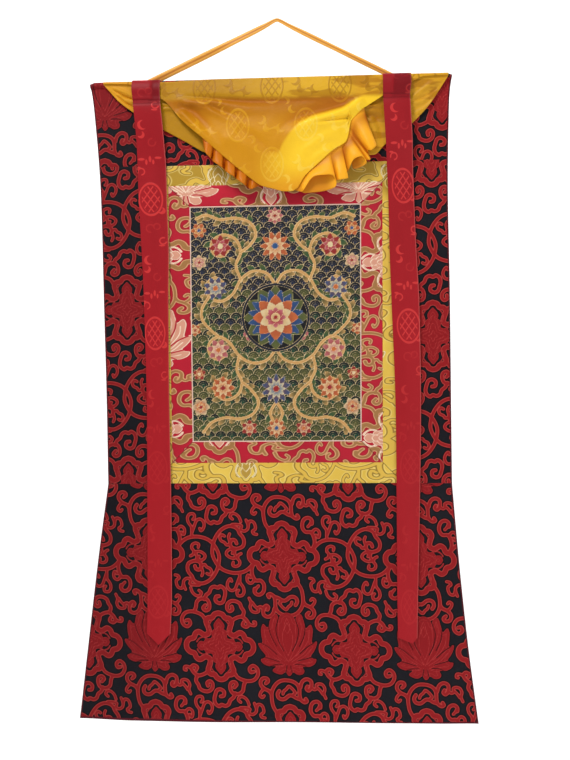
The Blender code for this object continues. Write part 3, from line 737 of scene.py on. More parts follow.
def mitred(inner, outer, side):
    """A strip of the frame between two rectangles round the painting, on one of its four sides."""
    near, far = inner - (SEAM_LAP if inner > RED_INNER else BEHIND_PIPING), outer + SEAM_LAP
    taller = HALF_TALL - PAINTING_WIDE / 2
    lies = side in ("top", "bottom")
    out = 1 if side in ("top", "right") else -1

    def place(u, v, w):
        along, across = (u, v) if lies else (v, u)
        across = across if out > 0 else 1 - across
        reach = lerp(near, far, across)
        if lies:
            x, z = lerp(-reach, reach, along), FRAME_MIDDLE_Z + out * (reach + taller)
        else:
            half = reach + taller
            x, z = out * reach, FRAME_MIDDLE_Z + lerp(-half, half, along)
        x = frame_x(x, z)
        edge = np.minimum(inward(across) * (far - near), inward(along) * (0.33 if lies else 0.45))
        return x, layer(relief(x, z), w, BROCADE_THICK / 2, edge), z

    return place


def frame_finish(name, ground, halo, thick, line_edge, line_middle, bloom_edge, bloom_middle, rough):
    finish = Finish(name, Roughness=rough, Specular_IOR_Level=0.25)
    mix = finish.mix
    line, bloom, vein = (finish.value(key) for key in ("scroll", "bloom", "vein"))
    threads = finish.mottle(1500.0, stretch=(0.35, 1.0, 1.0))
    on_line, on_bloom = line.under(thick, 0.4), bloom.under(0.3, 0.4)
    drawn = mix(line.under(thick + 1.3, 0.6) * 0.5, ground(finish), halo)
    drawn = mix(on_line, drawn, mix(line.under(thick - 1.3, 0.5), line_edge, line_middle))
    petals = mix(vein.under(0.75, 0.45), bloom_middle, bloom_edge)
    petals = mix(finish.value("gap").under(1.0, 0.4), petals, ground(finish))
    shown = mix(on_bloom, drawn, petals)
    shown = mix(finish.value("rim").under(0.7, 0.4) * 0.6, shown, dye(70, 30, 14))
    finish.wear(Base_Color=mix(finish.value("behind"), shown, dye(120, 60, 40)))
    finish.raise_by(on_line * 0.6 + on_bloom * 0.6 + threads * 0.4, 0.0005)
    return finish


def red_ground(finish):
    return finish.mix(finish.mottle(14.0), dye(162, 14, 34), dye(206, 24, 52))


def yellow_ground(finish):
    """Golden satin, with painted shade along the top, where the cover hangs over it."""
    lit = finish.mix(finish.mottle(14.0, detail=3.0), dye(208, 164, 42), dye(252, 218, 100))
    return finish.mix(finish.axis("Z").under(-0.300, 0.012), dye(182, 144, 44), lit)


def wide_cut(x, z):
    """The frame's brocade: the same chart, wider set and a little less tall."""
    return Cut(x, z, (0.2925, 0.0), (0.0, -0.2950), 0.3)


red_brocade = frame_finish(
    "red_brocade", red_ground, dye(140, 12, 26), -0.1, dye(214, 160, 112), dye(164, 116, 66),
    dye(252, 226, 198), dye(220, 156, 130), 0.5,
)
yellow_brocade = frame_finish(
    "yellow_brocade", yellow_ground, dye(246, 222, 132), 0.4, dye(156, 120, 42), dye(226, 186, 74),
    dye(246, 232, 186), dye(186, 148, 58), 0.4,
)
RED_CUTS = {
    "top": wide_cut(-0.1580, -0.1234), "bottom": wide_cut(-0.1029, -0.6803),
    "left": wide_cut(-0.2085, -0.6939), "right": wide_cut(0.0373, -0.5633),
}
YELLOW_CUTS = {
    "top": wide_cut(-0.1014, -0.2947), "bottom": wide_cut(-0.0582, -0.7337),
    "left": wide_cut(-0.2650, -0.4300), "right": wide_cut(0.1170, -0.4300),
}
for colour, finish, inner, outer, cuts, wide, tall in (
    ("red", red_brocade, RED_INNER, RED_OUTER, RED_CUTS, 0.359, 0.470),
    ("yellow", yellow_brocade, RED_OUTER, YELLOW_OUTER, YELLOW_CUTS, 0.428, 0.539),
):
    for side, cut in cuts.items():
        lies = side in ("top", "bottom")
        long, across = wide if lies else tall, outer - inner
        bm = fine_front(28, 2) if lies else fine_front(2, 28)

        def mitre(at):
            return ACROSS_MITRE * long * inward(at.u if lies else at.v)

        strip = piece_of(
            f"frame_{colour}_{side}", bm, mitred(inner, outer, side), finish, woven_values(cut, mitre)
        )
        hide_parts(f"{colour}_{side}")
        round((long - across) * across, 5)


# The piping: a thin cream cord, sewn into the seam round the picture. Its tubes stay as they are built.

piping_finish = Finish("piping_silk", Base_Color=dye(232, 200, 182), Roughness=0.6)
for side in ("top", "bottom", "left", "right"):
    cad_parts[f"piping_{side}"].material_slots[0].material = piping_finish.material


# The picture: cotton primed with chalk and painted, sewn in behind the piping. Its design is a lotus rosette
# with flowering vines, the same on both sides of its middle, over rows of scallops.

PAINTING_THICK = 0.0012
PIPING_SLOT = 0.0028
PICTURE_HALF_WIDE = PAINTING_WIDE / 2 - PIPING_SLOT + 0.0009
PICTURE_HALF_TALL = HALF_TALL - PIPING_SLOT + 0.0009
NAVY, INK, OLIVE, MOSS = (30, 44, 74), (14, 14, 20), (104, 102, 52), (56, 64, 34)
GREEN, CREAM, SAND, ORANGE = (24, 80, 54), (238, 214, 166), (222, 168, 100), (214, 112, 58)
RUST, RED, PINK, BLUE = (150, 62, 44), (164, 38, 40), (206, 116, 124), (52, 86, 136)
DESIGN_WIDE = 283.4      # the design is drawn in millimetres from its middle
DESIGN_TALL = 394.4
DESIGN_TOP = 200         # the first row of scallops is centred at this height
SCALLOP = 9.5            # the radius of a scallop of the ground
SCALLOP_ROWS = 45
NOT_DRAWN = 9.0          # the distance that is given where no drawn line is near

Flower = namedtuple("Flower", "x z size petals turn outer inner middle")
Whorl = namedtuple("Whorl", "long petals wide turn near far")
VINES = (
    ((0, -44), (16, -62), (40, -66), (62, -54), (78, -32), (96, -22), (112, -32), (112, -50), (98, -60),
     (84, -52)),
    ((62, -54), (66, -78), (58, -98), (64, -118), (84, -128), (102, -118), (104, -100), (90, -92),
     (80, -100)),
    ((58, -98), (42, -112), (30, -132), (40, -152), (62, -160), (86, -158), (110, -166), (124, -182)),
    ((0, 64), (14, 84), (38, 88), (58, 74), (72, 50), (92, 38), (112, 46), (116, 66), (102, 78), (88, 70)),
    ((58, 74), (66, 98), (58, 120), (66, 142), (88, 150), (106, 138), (104, 120), (90, 114), (80, 122)),
    ((58, 120), (42, 132), (32, 150), (42, 170), (66, 178), (92, 176), (116, 184), (132, 178)),
    ((96, -22), (112, -8), (124, 8), (124, 26), (112, 46)),
    ((0, -132), (10, -150), (4, -168), (0, -186)),
)
FLOWERS = (
    Flower(97, -44, 19, 7, 10, PINK, CREAM, ORANGE), Flower(90, -108, 20, 8, 0, ORANGE, CREAM, RED),
    Flower(101, 60, 20, 8, 20, BLUE, CREAM, ORANGE), Flower(92, 131, 19, 7, 40, RED, PINK, CREAM),
    Flower(0, 130, 25, 10, 0, ORANGE, CREAM, BLUE), Flower(0, -110, 25, 10, 18, BLUE, CREAM, RED),
    Flower(128, -140, 15, 6, 0, CREAM, ORANGE, RED), Flower(46, -176, 14, 6, 30, RED, CREAM, ORANGE),
    Flower(128, 104, 13, 6, 30, CREAM, PINK, RED), Flower(40, 34, 11, 5, 30, CREAM, SAND, RED),
    Flower(128, 158, 13, 6, 0, ORANGE, SAND, BLUE), Flower(0, 181, 14, 8, 0, PINK, CREAM, RED),
    Flower(44, -18, 11, 5, 0, PINK, CREAM, RUST), Flower(0, -176, 16, 8, 0, ORANGE, CREAM, BLUE),
    Flower(130, -84, 11, 5, 20, RED, SAND, CREAM), Flower(136, -10, 10, 5, 60, ORANGE, CREAM, RED),
)
ROSETTE_Z = 10
ROSETTE = (
    Whorl(54, 12, 15, 90, GREEN, OLIVE), Whorl(47, 16, 9, 101.25, NAVY, BLUE),
    Whorl(38, 8, 12, 90, RUST, ORANGE), Whorl(27, 8, 9, 112.5, SAND, CREAM), Whorl(17, 8, 6, 90, RED, PINK),
)


def painted_design(px, pz):
    """The colour of the paint at places in millimetres, and how far each lies from a drawn line."""
    px = np.abs(px)
    drawn = np.full(len(px), NOT_DRAWN)
    paint = lerp(np.array(MOSS, float), np.array(INK, float), ease(-60, 100, pz)[:, None])

    def lay(shape, near, far, share=0.5):
        """Lays a painted shape over what is there: its outline is drawn, and its colour runs along it."""
        on = shape < 0.7
        share = np.broadcast_to(share, shape.shape)[on][:, None]
        paint[on] = lerp(np.array(near, float), np.array(far, float), np.clip(share, 0, 1))
        drawn[on] = np.abs(shape[on])

    def dot(x, z, radius, near, far):
        lay(np.hypot(px - x, pz - z) - radius, near, far)

    def petal(x, z, turn, long, wide, near, far):
        """Lays a pointed petal or leaf from a place outwards."""
        c, s = math.cos(math.radians(turn)), math.sin(math.radians(turn))
        share = ((px - x) * c + (pz - z) * s) / long
        outline = wide * np.sin(np.pi * np.clip(share, 0, 1) ** 0.8) ** 0.75
        across = np.abs((pz - z) * c - (px - x) * s)
        lay(np.where((share > 0) & (share < 1), across - outline, NOT_DRAWN), near, far, share)

    def whorl(x, z, ring):
        """Lays a ring of petals round a place."""
        for k in range(ring.petals):
            petal(x, z, ring.turn + 360 * k / ring.petals, ring.long, ring.wide, ring.near, ring.far)

    for row in reversed(range(SCALLOP_ROWS)):
        middle = DESIGN_TOP - (SCALLOP_ROWS - 1 - row) * SCALLOP
        across = (px + (row % 2) * SCALLOP) % (2 * SCALLOP) - SCALLOP
        out = np.hypot(across, pz - middle)
        tone = (DESIGN_TOP - middle) / (2 * DESIGN_TOP) + 0.12 * math.sin(2.1 * row)
        dark, light = (INK, NAVY) if tone < 0.42 else (MOSS, OLIVE) if row % 3 else (INK, GREEN)
        lay(out - SCALLOP, dark, light, 1 - out / SCALLOP)
        ring = out < SCALLOP * 0.8
        to_ring = np.minimum(np.abs(out - SCALLOP * 0.62), np.abs(out - SCALLOP * 0.28)) + 0.2
        drawn[ring] = np.minimum(drawn, to_ring)[ring]
    for vine in VINES:
        line = smooth_line(vine, 8)
        near = np.full(len(px), 99.0)
        for start, end in zip(line[:-1], line[1:]):
            near = np.minimum(near, np.hypot(*to_segment(px, pz, start, end)[1:]))
        for index in range(4, len(line) - 4, 6):
            lean = math.degrees(math.atan2(*(line[index + 1] - line[index - 1])[::-1]))
            petal(*line[index], lean + 38, 17 - index % 5, 4.4, GREEN, OLIVE)
            petal(*line[index], lean - 38, 17 - index % 5, 4.4, MOSS, SAND)
        lay(near - 1.9, SAND, SAND)
    for x, z, size, petals, turn, outer, inner, middle in FLOWERS:
        whorl(x, z, Whorl(size, petals, size * 2.1 / petals, turn, RUST, outer))
        size_in = size * 0.62
        whorl(x, z, Whorl(size_in, petals, size_in * 2.1 / petals, turn + 180 / petals, outer, inner))
        dot(x, z, size * 0.2, middle, middle)
    dot(0, ROSETTE_Z, 57, INK, NAVY)
    dot(0, ROSETTE_Z, 53, INK, INK)
    for ring in ROSETTE:
        whorl(0, ROSETTE_Z, ring)
    dot(0, ROSETTE_Z, 7, SAND, CREAM)
    dot(0, ROSETTE_Z, 3.4, RED, RED)
    return np.concatenate((linear(paint / 255), np.ones((len(px), 1))), 1), drawn


def picture(u, v, w):
    z = FRAME_MIDDLE_Z + lerp(-PICTURE_HALF_TALL, PICTURE_HALF_TALL, v)
    x = frame_x(lerp(-PICTURE_HALF_WIDE, PICTURE_HALF_WIDE, u), z)
    return x, layer(relief(x, z), w, PAINTING_THICK / 2, 1.0), z


def design(index):
    return lambda at: painted_design((at.u - 0.5) * DESIGN_WIDE, (at.v - 0.5) * DESIGN_TALL)[index]


painted = Finish("painted_cotton", Roughness=0.6, Specular_IOR_Level=0.25)
brushed = painted.mottle(160.0, detail=4.0)
colour = painted.mix(brushed * 0.35, painted.value("paint", "Color"), dye(24, 20, 16))
colour = painted.mix(painted.value("drawn").under(0.42, 0.25) * 0.85, colour, dye(232, 204, 154))
painted.wear(Base_Color=painted.mix(painted.value("behind"), colour, dye(196, 180, 150)))
painted.raise_by(painted.mottle(1200.0), 0.0003)
picture_cloth = piece_of(
    "picture", fine_front(18, 25, 13), picture, painted,
    {"paint": design(0), "drawn": design(1), "behind": behind},
)
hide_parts("painting")


# The cover: one piece of yellow silk damask. It hangs behind, turns over the top edge, and its front layer
# is lifted into a swag whose two ends are tucked in behind the ribbons.

VEIL_THICK = 0.0008
VEIL_TOP_Z = -0.1058
VEIL_FOLD_R = 0.0016
VEIL_BACK_Y = -0.0165
VEIL_SLEEVE_Y = -0.0191
PINCH_LEFT = -0.1990
PINCH_RIGHT = 0.1720
VEIL_LEFT = -0.2950
VEIL_RIGHT = 0.2860
BACK_ROWS, FOLD_ROWS, FRONT_ROWS = 40, 6, 84
FRONT_FROM = BACK_ROWS + FOLD_ROWS
VEIL_GRID = (300, FRONT_FROM + FRONT_ROWS)

# How low the two layers hang from left to right, and how far the swag swells out from its top down.
back_hem = through(tenths((
    (-2950, -1080), (-2840, -1205), (-2700, -1362), (-2450, -1555), (-2020, -1822), (-1930, -1870),
    (-1520, -2098), (-1250, -2255), (-780, -2400), (1000, -2380), (1620, -2365), (1800, -2205),
    (2270, -1840), (2540, -1560), (2720, -1300), (2860, -1085),
)))
front_hem = through(tenths((
    (-2950, -1070), (-2500, -1090), (-2150, -1260), (-1990, -1330), (-1870, -1420), (-1620, -1715),
    (-1200, -2095), (-780, -2470), (-450, -2745), (-250, -2880), (-50, -2935), (110, -2975), (230, -2977),
    (330, -2930), (460, -2735), (690, -2520), (970, -2280), (1150, -2165), (1185, -2080), (1235, -1830),
    (1310, -1745), (1430, -1625), (1720, -1430), (1900, -1320), (2250, -1180), (2450, -1090),
    (2860, -1075),
)))
swell_out = through(tenths(((0, 0), (280, 40), (420, 36), (600, 75), (950, 125), (1450, 115), (2000, 90))))

# In tenths of a millimetre, the main fold's line, and for each crease the widths of its upper and its lower
# flank, its height, and the places that it runs through.
MAIN_FOLD = (
    (1491, -1434), (1308, -1545), (1108, -1673), (858, -1750), (607, -1810), (390, -1888), (221, -2018),
    (103, -2165), (35, -2314),
)
SWAG_CREASES = (
    (45, 50, -34, (-1879, -1327), (-1202, -1370), (-444, -1432), (394, -1446), (1143, -1425), (1690, -1389)),
    (50, 110, 46, (-1828, -1328), (-1202, -1412), (-680, -1523), (-479, -1557), (-9, -1561), (392, -1611)),
    (45, 70, 40, (-1660, -1467), (-1456, -1456), (-1220, -1496), (-1052, -1618), (-850, -1723),
     (-616, -1830)),
    (80, 90, -44, (-1700, -1450), (-1423, -1558), (-1289, -1695), (-960, -2060)),
    (60, 60, 50, (-1677, -1517), (-1526, -1689), (-1358, -1862), (-1174, -2051), (-872, -2293)),
    (50, 60, -30, (-1203, -1463), (-1001, -1552), (-782, -1641), (-564, -1714)),
    (60, 170, 94, *MAIN_FOLD),
    (130, 60, -46, (1259, -1461), (976, -1553), (692, -1629), (391, -1721), (156, -1832), (-29, -1995),
     (-148, -2176)),
    (18, 34, -50, (1290, -1760), (1120, -1775), (920, -1800), (560, -1870)),
    (100, 140, 22, (-980, -2060), (-640, -2120), (-300, -2340), (-100, -2560)),
    (80, 120, -20, (-700, -1880), (-420, -2020), (-180, -2240), (20, -2500)),
    (70, 110, 24, (1120, -1960), (820, -2060), (520, -2260), (260, -2560)),
    (60, 80, 18, (940, -2240), (680, -2400), (460, -2620)),
)
WING_CREASES = (
    (30, 44, 32, (-2808, -1100), (-2586, -1216), (-2435, -1291), (-2192, -1388)),
    (28, 40, 30, (-2741, -1220), (-2587, -1340), (-2433, -1381), (-2193, -1439)),
    (28, 36, 24, (-2741, -1305), (-2588, -1425), (-2434, -1546), (-2297, -1555)),
    (16, 18, -26, (-2830, -1140), (-2600, -1275), (-2435, -1335), (-2200, -1410)),
    (16, 18, -24, (-2760, -1240), (-2590, -1385), (-2434, -1460), (-2200, -1500)),
    (30, 44, 26, (2790, -1120), (2558, -1208), (2228, -1455), (2058, -1533)),
    (28, 40, 24, (2656, -1349), (2423, -1498), (2254, -1532), (2058, -1583)),
    (28, 44, 22, (2689, -1384), (2518, -1579), (2264, -1711), (2089, -1735)),
    (22, 22, -16, (2723, -1235), (2552, -1375), (2247, -1505), (2058, -1550)),
    (24, 26, 46, (-1640, -1500), (-1844, -1449), (-2040, -1428)),
    (24, 26, 40, (-1691, -1520), (-1845, -1512), (-2040, -1508)),
    (24, 30, 46, (1380, -1590), (1558, -1538), (1840, -1572)),
    (24, 30, 40, (1380, -1600), (1591, -1631), (1840, -1682)),
    (30, 34, -28, (1420, -1680), (1600, -1720), (1840, -1790)),
    (44, 50, 26, (1560, -1700), (1640, -1980), (1700, -2330)),
    (40, 44, -22, (1640, -1720), (1730, -1950), (1790, -2150)),
)


def crease_height(creases, x, z):
    """The sum of some soft ridges and troughs at places, each with its own flank above and below its line."""
    height = np.zeros(x.shape)
    for row in creases:
        above, below, rise = tenths(row[:3])
        run = tenths(row[3:])
        knots = lengths(run) / lengths(run)[-1]
        nearest, side, share = np.full(x.shape, 1.0), np.zeros(x.shape), np.zeros(x.shape)
        for start, end, knot, next_knot in zip(run, run[1:], knots, knots[1:]):
            t, off_x, off_z = to_segment(x, z, start, end)
            dx, dz = end - start
            far = np.hypot(off_x, off_z)
            nearer = far < nearest
            nearest = np.where(nearer, far, nearest)
            side = np.where(nearer, off_z * abs(dx) - off_x * dz * np.sign(dx), side)
            share = np.where(nearer, lerp(knot, next_knot, t), share)
        taper = ease(0.0, 0.12, share) * ease(1.0, 0.45, share)
        height += rise * taper * bump(nearest, np.where(side > 0, above, below))
    return height


def swag_y(x, z):
    """The depth of the lifted layer: it swells out between the two places where it is tucked."""
    across = np.clip((x - PINCH_LEFT) / (PINCH_RIGHT - PINCH_LEFT), 0, 1)
    swell = np.sin(np.pi * across) ** 0.8
    flat = VEIL_SLEEVE_Y - 2 * VEIL_FOLD_R
    below = ease(0.0, 0.02, VEIL_TOP_Z - z)
    return flat - swell * swell_out(VEIL_TOP_Z - z) - below * crease_height(SWAG_CREASES, x, z)


def veil_back_y(x, z):
    hung = lerp(VEIL_SLEEVE_Y, VEIL_BACK_Y, ease(0.010, 0.030, VEIL_TOP_Z - z))
    return hung - ease(0.002, 0.014, VEIL_TOP_Z - z) * crease_height(WING_CREASES, x, z)


def veil_row(v):
    """The row of the cover's grid at a share of its length: up its back, over the fold, down its front."""
    return v * VEIL_GRID[1]


def veil(u, v, w):
    x = lerp(VEIL_LEFT, VEIL_RIGHT, u)
    row = veil_row(v)
    back_z = lerp(back_hem(x), VEIL_TOP_Z, row / BACK_ROWS)
    turn = np.pi * np.clip((row - BACK_ROWS) / FOLD_ROWS, 0, 1)
    front_z = lerp(VEIL_TOP_Z, front_hem(x), (row - FRONT_FROM) / FRONT_ROWS)
    on_back, on_front = row <= BACK_ROWS, row > FRONT_FROM
    z = np.where(on_back, back_z, np.where(on_front, front_z, VEIL_TOP_Z + VEIL_FOLD_R * np.sin(turn)))
    y = VEIL_SLEEVE_Y - VEIL_FOLD_R * (1 - np.cos(turn))
    y = np.where(on_back, veil_back_y(x, z), np.where(on_front, swag_y(x, z), y))
    slipped = 0.0026 * bump(x + 0.1860, 0.045) * ease(-0.1400, -0.1060, z)
    return x, y, z - slipped


def disc(u, v, x, z, wide, tall):
    """How far a place in millimetres lies outside an ellipse, below zero within it."""
    across, up = (u - x) * (1 / wide), (v - z) * (1 / tall)
    square = across * across + up * up
    return (square.maths("SQRT", square) - 1) * min(wide, tall)


def crescent(u, v, x, z, size, off_x, off_z):
    """A disc with another disc cut out of it."""
    out = disc(u, v, x, z, size, size)
    return out.maths("MAXIMUM", out, 0 - disc(u, v, x + off_x, z + off_z, size * 0.88, size * 0.88))


def roundel(u, v):
    """The damask's largest figure: an upright oval ring round a lattice of slanted bars."""
    ring = disc(u, v, 0, 0, 18.6, 27.2)
    ring = ring.maths("ABSOLUTE", ring) - 1.3
    lattice = least(*[bar.maths("PINGPONG", bar, 5.6) * 0.82 - 1.05 for bar in (u + v * 0.7, u - v * 0.7)])
    return least(ring, lattice.maths("MAXIMUM", lattice, disc(u, v, 0, 0, 14.6, 23.2)))


def several(figure, u, v, rows):
    """One kind of figure at each of some places."""
    return [figure(u, v, *row) for row in rows]


ROUNDEL_X, ROUNDEL_Z = -0.1220, -0.1195   # the middle of one of the cover's roundels
HALF_ACROSS, HALF_DOWN = 57.0, 66.5       # and half of the steps to the next ones, in millimetres
CLOUDS = (
    (40, 8, 8, -4, 3), (51, -3, 7, 3, 3), (-42, -6, 8, 4, 3), (6, 56, 7, -3, -3), (-9, 60, 6, 4, 1),
    (34, -40, 7, 4, 2), (-34, 42, 7, -4, -2),
)


def cover_figures(u, v):
    """The cover's damask: roundels in rows, and clouds of crescents between them."""
    u = u.maths("WRAP", u, HALF_ACROSS, -HALF_ACROSS)
    v = v.maths("WRAP", v, HALF_DOWN, -HALF_DOWN)
    return least(roundel(u, v), *several(crescent, u, v, CLOUDS))


def cover_tones(at):
    """How much a place belongs to the band above the swag, or to what hangs behind it."""
    return np.where(veil_row(at.v) <= FRONT_FROM, 1.0, ease(-0.1440, -0.1340, at.z))


def lit_flap(at):
    """The share of the smooth lower part and of the main fold's back, which both face the light and are
    painted lighter.
    """
    fold_x, fold_z = tenths(MAIN_FOLD)[::-1].T
    folds_back = 0.0105 * ease(0.0, 0.07, at.x)
    below = ease(-0.003, 0.006, np.interp(at.x, fold_x, fold_z) + folds_back - at.z)
    to_the_right = ease(-0.045, 0.035, at.x - 0.25 * (at.z + 0.25))
    return np.where(veil_row(at.v) > BACK_ROWS, below * to_the_right, 0.0)


def crease_shade_share(at):
    """The painted shade in the bottom of a crease: 1 there, where the silk sees only itself."""
    swag, wings = crease_height(SWAG_CREASES, at.x, at.z), crease_height(WING_CREASES, at.x, at.z)
    return ease(0.0004, 0.0042, -np.where(veil_row(at.v) > FRONT_FROM, swag, wings))


yellow_damask = Finish("yellow_damask", Specular_IOR_Level=0.2)
mix, value, mottle = yellow_damask.mix, yellow_damask.value, yellow_damask.mottle
across, down = value("across"), value("down")
figures = least(cover_figures(across, down), cover_figures(across + HALF_ACROSS, down + HALF_DOWN))
on_figure = figures.under(0.1, 0.45) * value("figured")
# Painted highlight: bright satin patches over the band's right half.
painted_sheen = 1.0 - mottle(26.0, stretch=(0.6, 1.0, 2.2)).under(0.46, 0.04)
painted_sheen = painted_sheen * (1.0 - across.under(100.0, 90.0))
band_colour_and_sheen = mix(painted_sheen * 0.8, dye(184, 131, 10), dye(229, 177, 36))
band_colour_and_sheen = mix(across.under(-116.0, 8.0) * 0.7, band_colour_and_sheen, dye(232, 162, 34))
band_colour_and_sheen = mix((1.0 - across.under(250.0, 12.0)) * 0.2, band_colour_and_sheen, dye(206, 116, 18))
band_colour_and_sheen = mix(on_figure * 0.55, band_colour_and_sheen, dye(158, 104, 8))
# Painted shade: the swag is a darker copy of the silk, darkest at its top, under the band.
swag_shaded_colour = mix(down.under(-50.0, 30.0), dye(176, 106, 4), dye(210, 142, 12))
swag_shaded_colour = mix(on_figure * 0.42, swag_shaded_colour, dye(232, 172, 36))
# Painted light: the flap is a lighter copy of the silk, brightest at its top.
flap_lit_colour = mix(down.under(-152.0, 26.0), dye(255, 206, 40), dye(232, 158, 24))
flap_lit_colour = mix(on_figure * 0.4, flap_lit_colour, dye(255, 220, 90))
silk = mix(value("band"), mix(value("flap"), swag_shaded_colour, flap_lit_colour), band_colour_and_sheen)
# Painted shade: deeper orange in the bottoms of the creases.
silk = mix(value("painted_crease_shade") * 0.32, silk, dye(172, 82, 4))
yellow_damask.wear(Base_Color=silk, Roughness=0.48 - on_figure * 0.1)
yellow_damask.raise_by(on_figure * 0.4 + mottle(1300.0) * 0.3 + mottle(60.0) * 2.0, 0.0005)
cover = piece_of(
    "cover", grid(*VEIL_GRID), veil, yellow_damask, thick=VEIL_THICK, sharp=80,
    values={
        "across": lambda at: 1000 * (at.x - ROUNDEL_X),
        "down": lambda at: 1000 * (at.z - ROUNDEL_Z),
        "band": cover_tones,
        "flap": lit_flap,
        "painted_crease_shade": crease_shade_share,
        "figured": lambda at: np.where(veil_row(at.v) > BACK_ROWS, 1.0, 0.15),
    },
)
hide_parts("veil")


# The ruffle: a strip of plain yellow silk, pleated by hand along the lower edge of the cover's front layer.

RIDGE = -385             # the depth of a pleat's outside
VALLEY = -245            # of its inside
BEHIND_TIP = -275        # behind the swag's lowest part
TUCKED = -225            # and at the pinch

# In tenths of a millimetre too, each fold's root, x and z, and its hem, x, z and y.
FOLDS = (
    (-1250, -2010, -1235, -2200, VALLEY), (-1150, -2070, -1180, -2330, RIDGE),
    (-1080, -2120, -1110, -2400, -350), (-1040, -2160, -1120, -2390, VALLEY),
    (-1000, -2200, -1040, -2480, -370), (-930, -2260, -925, -2560, RIDGE),
    (-860, -2320, -910, -2560, VALLEY), (-800, -2380, -830, -2650, -370),
    (-720, -2440, -720, -2720, RIDGE), (-660, -2490, -720, -2710, VALLEY),
    (-600, -2540, -640, -2790, -370), (-520, -2600, -545, -2860, RIDGE),
    (-450, -2650, -520, -2870, VALLEY), (-390, -2700, -430, -2930, -340),
    (-286, -2767, -321, -2877, BEHIND_TIP), (-120, -2790, -120, -2880, BEHIND_TIP),
    (140, -2800, 140, -2900, BEHIND_TIP), (340, -2790, 400, -2985, -300),
    # A wide tube, open below: round its left, its short front and its right, then back along its long inside.
    (440, -2700, 445, -2960, -350), (540, -2610, 600, -2765, -395), (700, -2480, 770, -2735, -410),
    (850, -2340, 935, -2745, -390), (880, -2310, 985, -2900, -345), (800, -2380, 850, -2965, -300),
    (640, -2520, 620, -2998, -290), (480, -2665, 420, -2990, -285), (620, -2540, 620, -2820, -255),
    # A narrow tube.
    (880, -2310, 975, -2800, -290), (970, -2240, 1050, -2815, -390), (1060, -2185, 1180, -2785, -370),
    (1080, -2175, 1160, -2700, -270),
    # A smaller open tube, and a fold beside it.
    (1090, -2165, 1200, -2620, -300), (1130, -2140, 1285, -2480, -385), (1170, -2060, 1420, -2440, -385),
    (1182, -1990, 1490, -2530, -335), (1165, -2080, 1400, -2590, -290), (1145, -2130, 1270, -2610, -275),
    (1165, -2070, 1330, -2450, -250), (1180, -2000, 1480, -2480, -290), (1190, -1960, 1550, -2480, -330),
    (1195, -1920, 1540, -2400, -260),
    # The long fold, which hangs from the pinch.
    (1205, -1860, 1520, -2320, -320), (1270, -1720, 1570, -2340, -395), (1370, -1640, 1640, -2280, -375),
    (1420, -1600, 1660, -2240, -320), (1450, -1570, 1620, -2180, TUCKED),
)
BEHIND_SWAG = 0.0027
FARTHEST_OUT = -0.0410
LAYERED = 0.12           # how much of a fold's depth is left at its root
RUFFLE_GRID = (640, 24)

root_x, root_z, hem_x, hem_z, hem_y = tenths(FOLDS).T
root_y = swag_y(root_x, root_z) + BEHIND_SWAG + LAYERED * (hem_y - FARTHEST_OUT)
roots, hems = np.stack((root_x, root_z, root_y), 1), np.stack((hem_x, hem_z, hem_y), 1)
along_roots, along_hems = lengths(roots) / lengths(roots)[-1], lengths(hems) / lengths(hems)[-1]


def frill(u, v, w):
    root_at = np.interp(u, along_hems, along_roots)
    root, hem = curve_through(roots, root_at).T, curve_through(hems, u).T
    fall = 1 - v
    out = ease(0.05, 0.95, fall)
    return lerp(root[0], hem[0], fall), lerp(root[2], hem[2], out), lerp(root[1], hem[1], fall)


yellow_silk = Finish("yellow_silk", Roughness=0.44, Specular_IOR_Level=0.2)
# Painted light: the pleats are coloured lighter towards the right.
pleat = yellow_silk.mix(yellow_silk.value("painted_light_right"), dye(206, 114, 8), dye(255, 178, 34))
# Painted shade: deeper orange in the pleats' hollows.
pleat = yellow_silk.mix(yellow_silk.value("painted_crease_shade") * 0.85, pleat, dye(172, 72, 2))
yellow_silk.wear(Base_Color=pleat)
yellow_silk.raise_by(yellow_silk.mottle(1300.0) * 0.3 + yellow_silk.mottle(90.0), 0.0004)
ruffle = piece_of(
    "ruffle", grid(*RUFFLE_GRID), frill, yellow_silk, thick=VEIL_THICK, sharp=80,
    values={
        "painted_crease_shade": lambda at: ease(-0.0350, -0.0245, at.y) * ease(1.0, 0.75, at.v),
        "painted_light_right": lambda at: ease(-0.03, 0.05, at.x),
    },
)
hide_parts("veil_frill")


# The ribbons: bright red silk damask, turned over the top edge and sewn, and pointed at the foot.

RIBBON_THICK = 0.0010
RIBBON_WIDE = 45         # the damask is woven in millimetres of the cloth
RIBBON_REPEAT = 231
REPEAT_ABOVE = 36        # how much of a repeat lies above its roundel's middle
POINTED = 0.03           # the share of the length that the point takes
CREASED = 0.02           # a fold's edge is this soft, in shares of the width

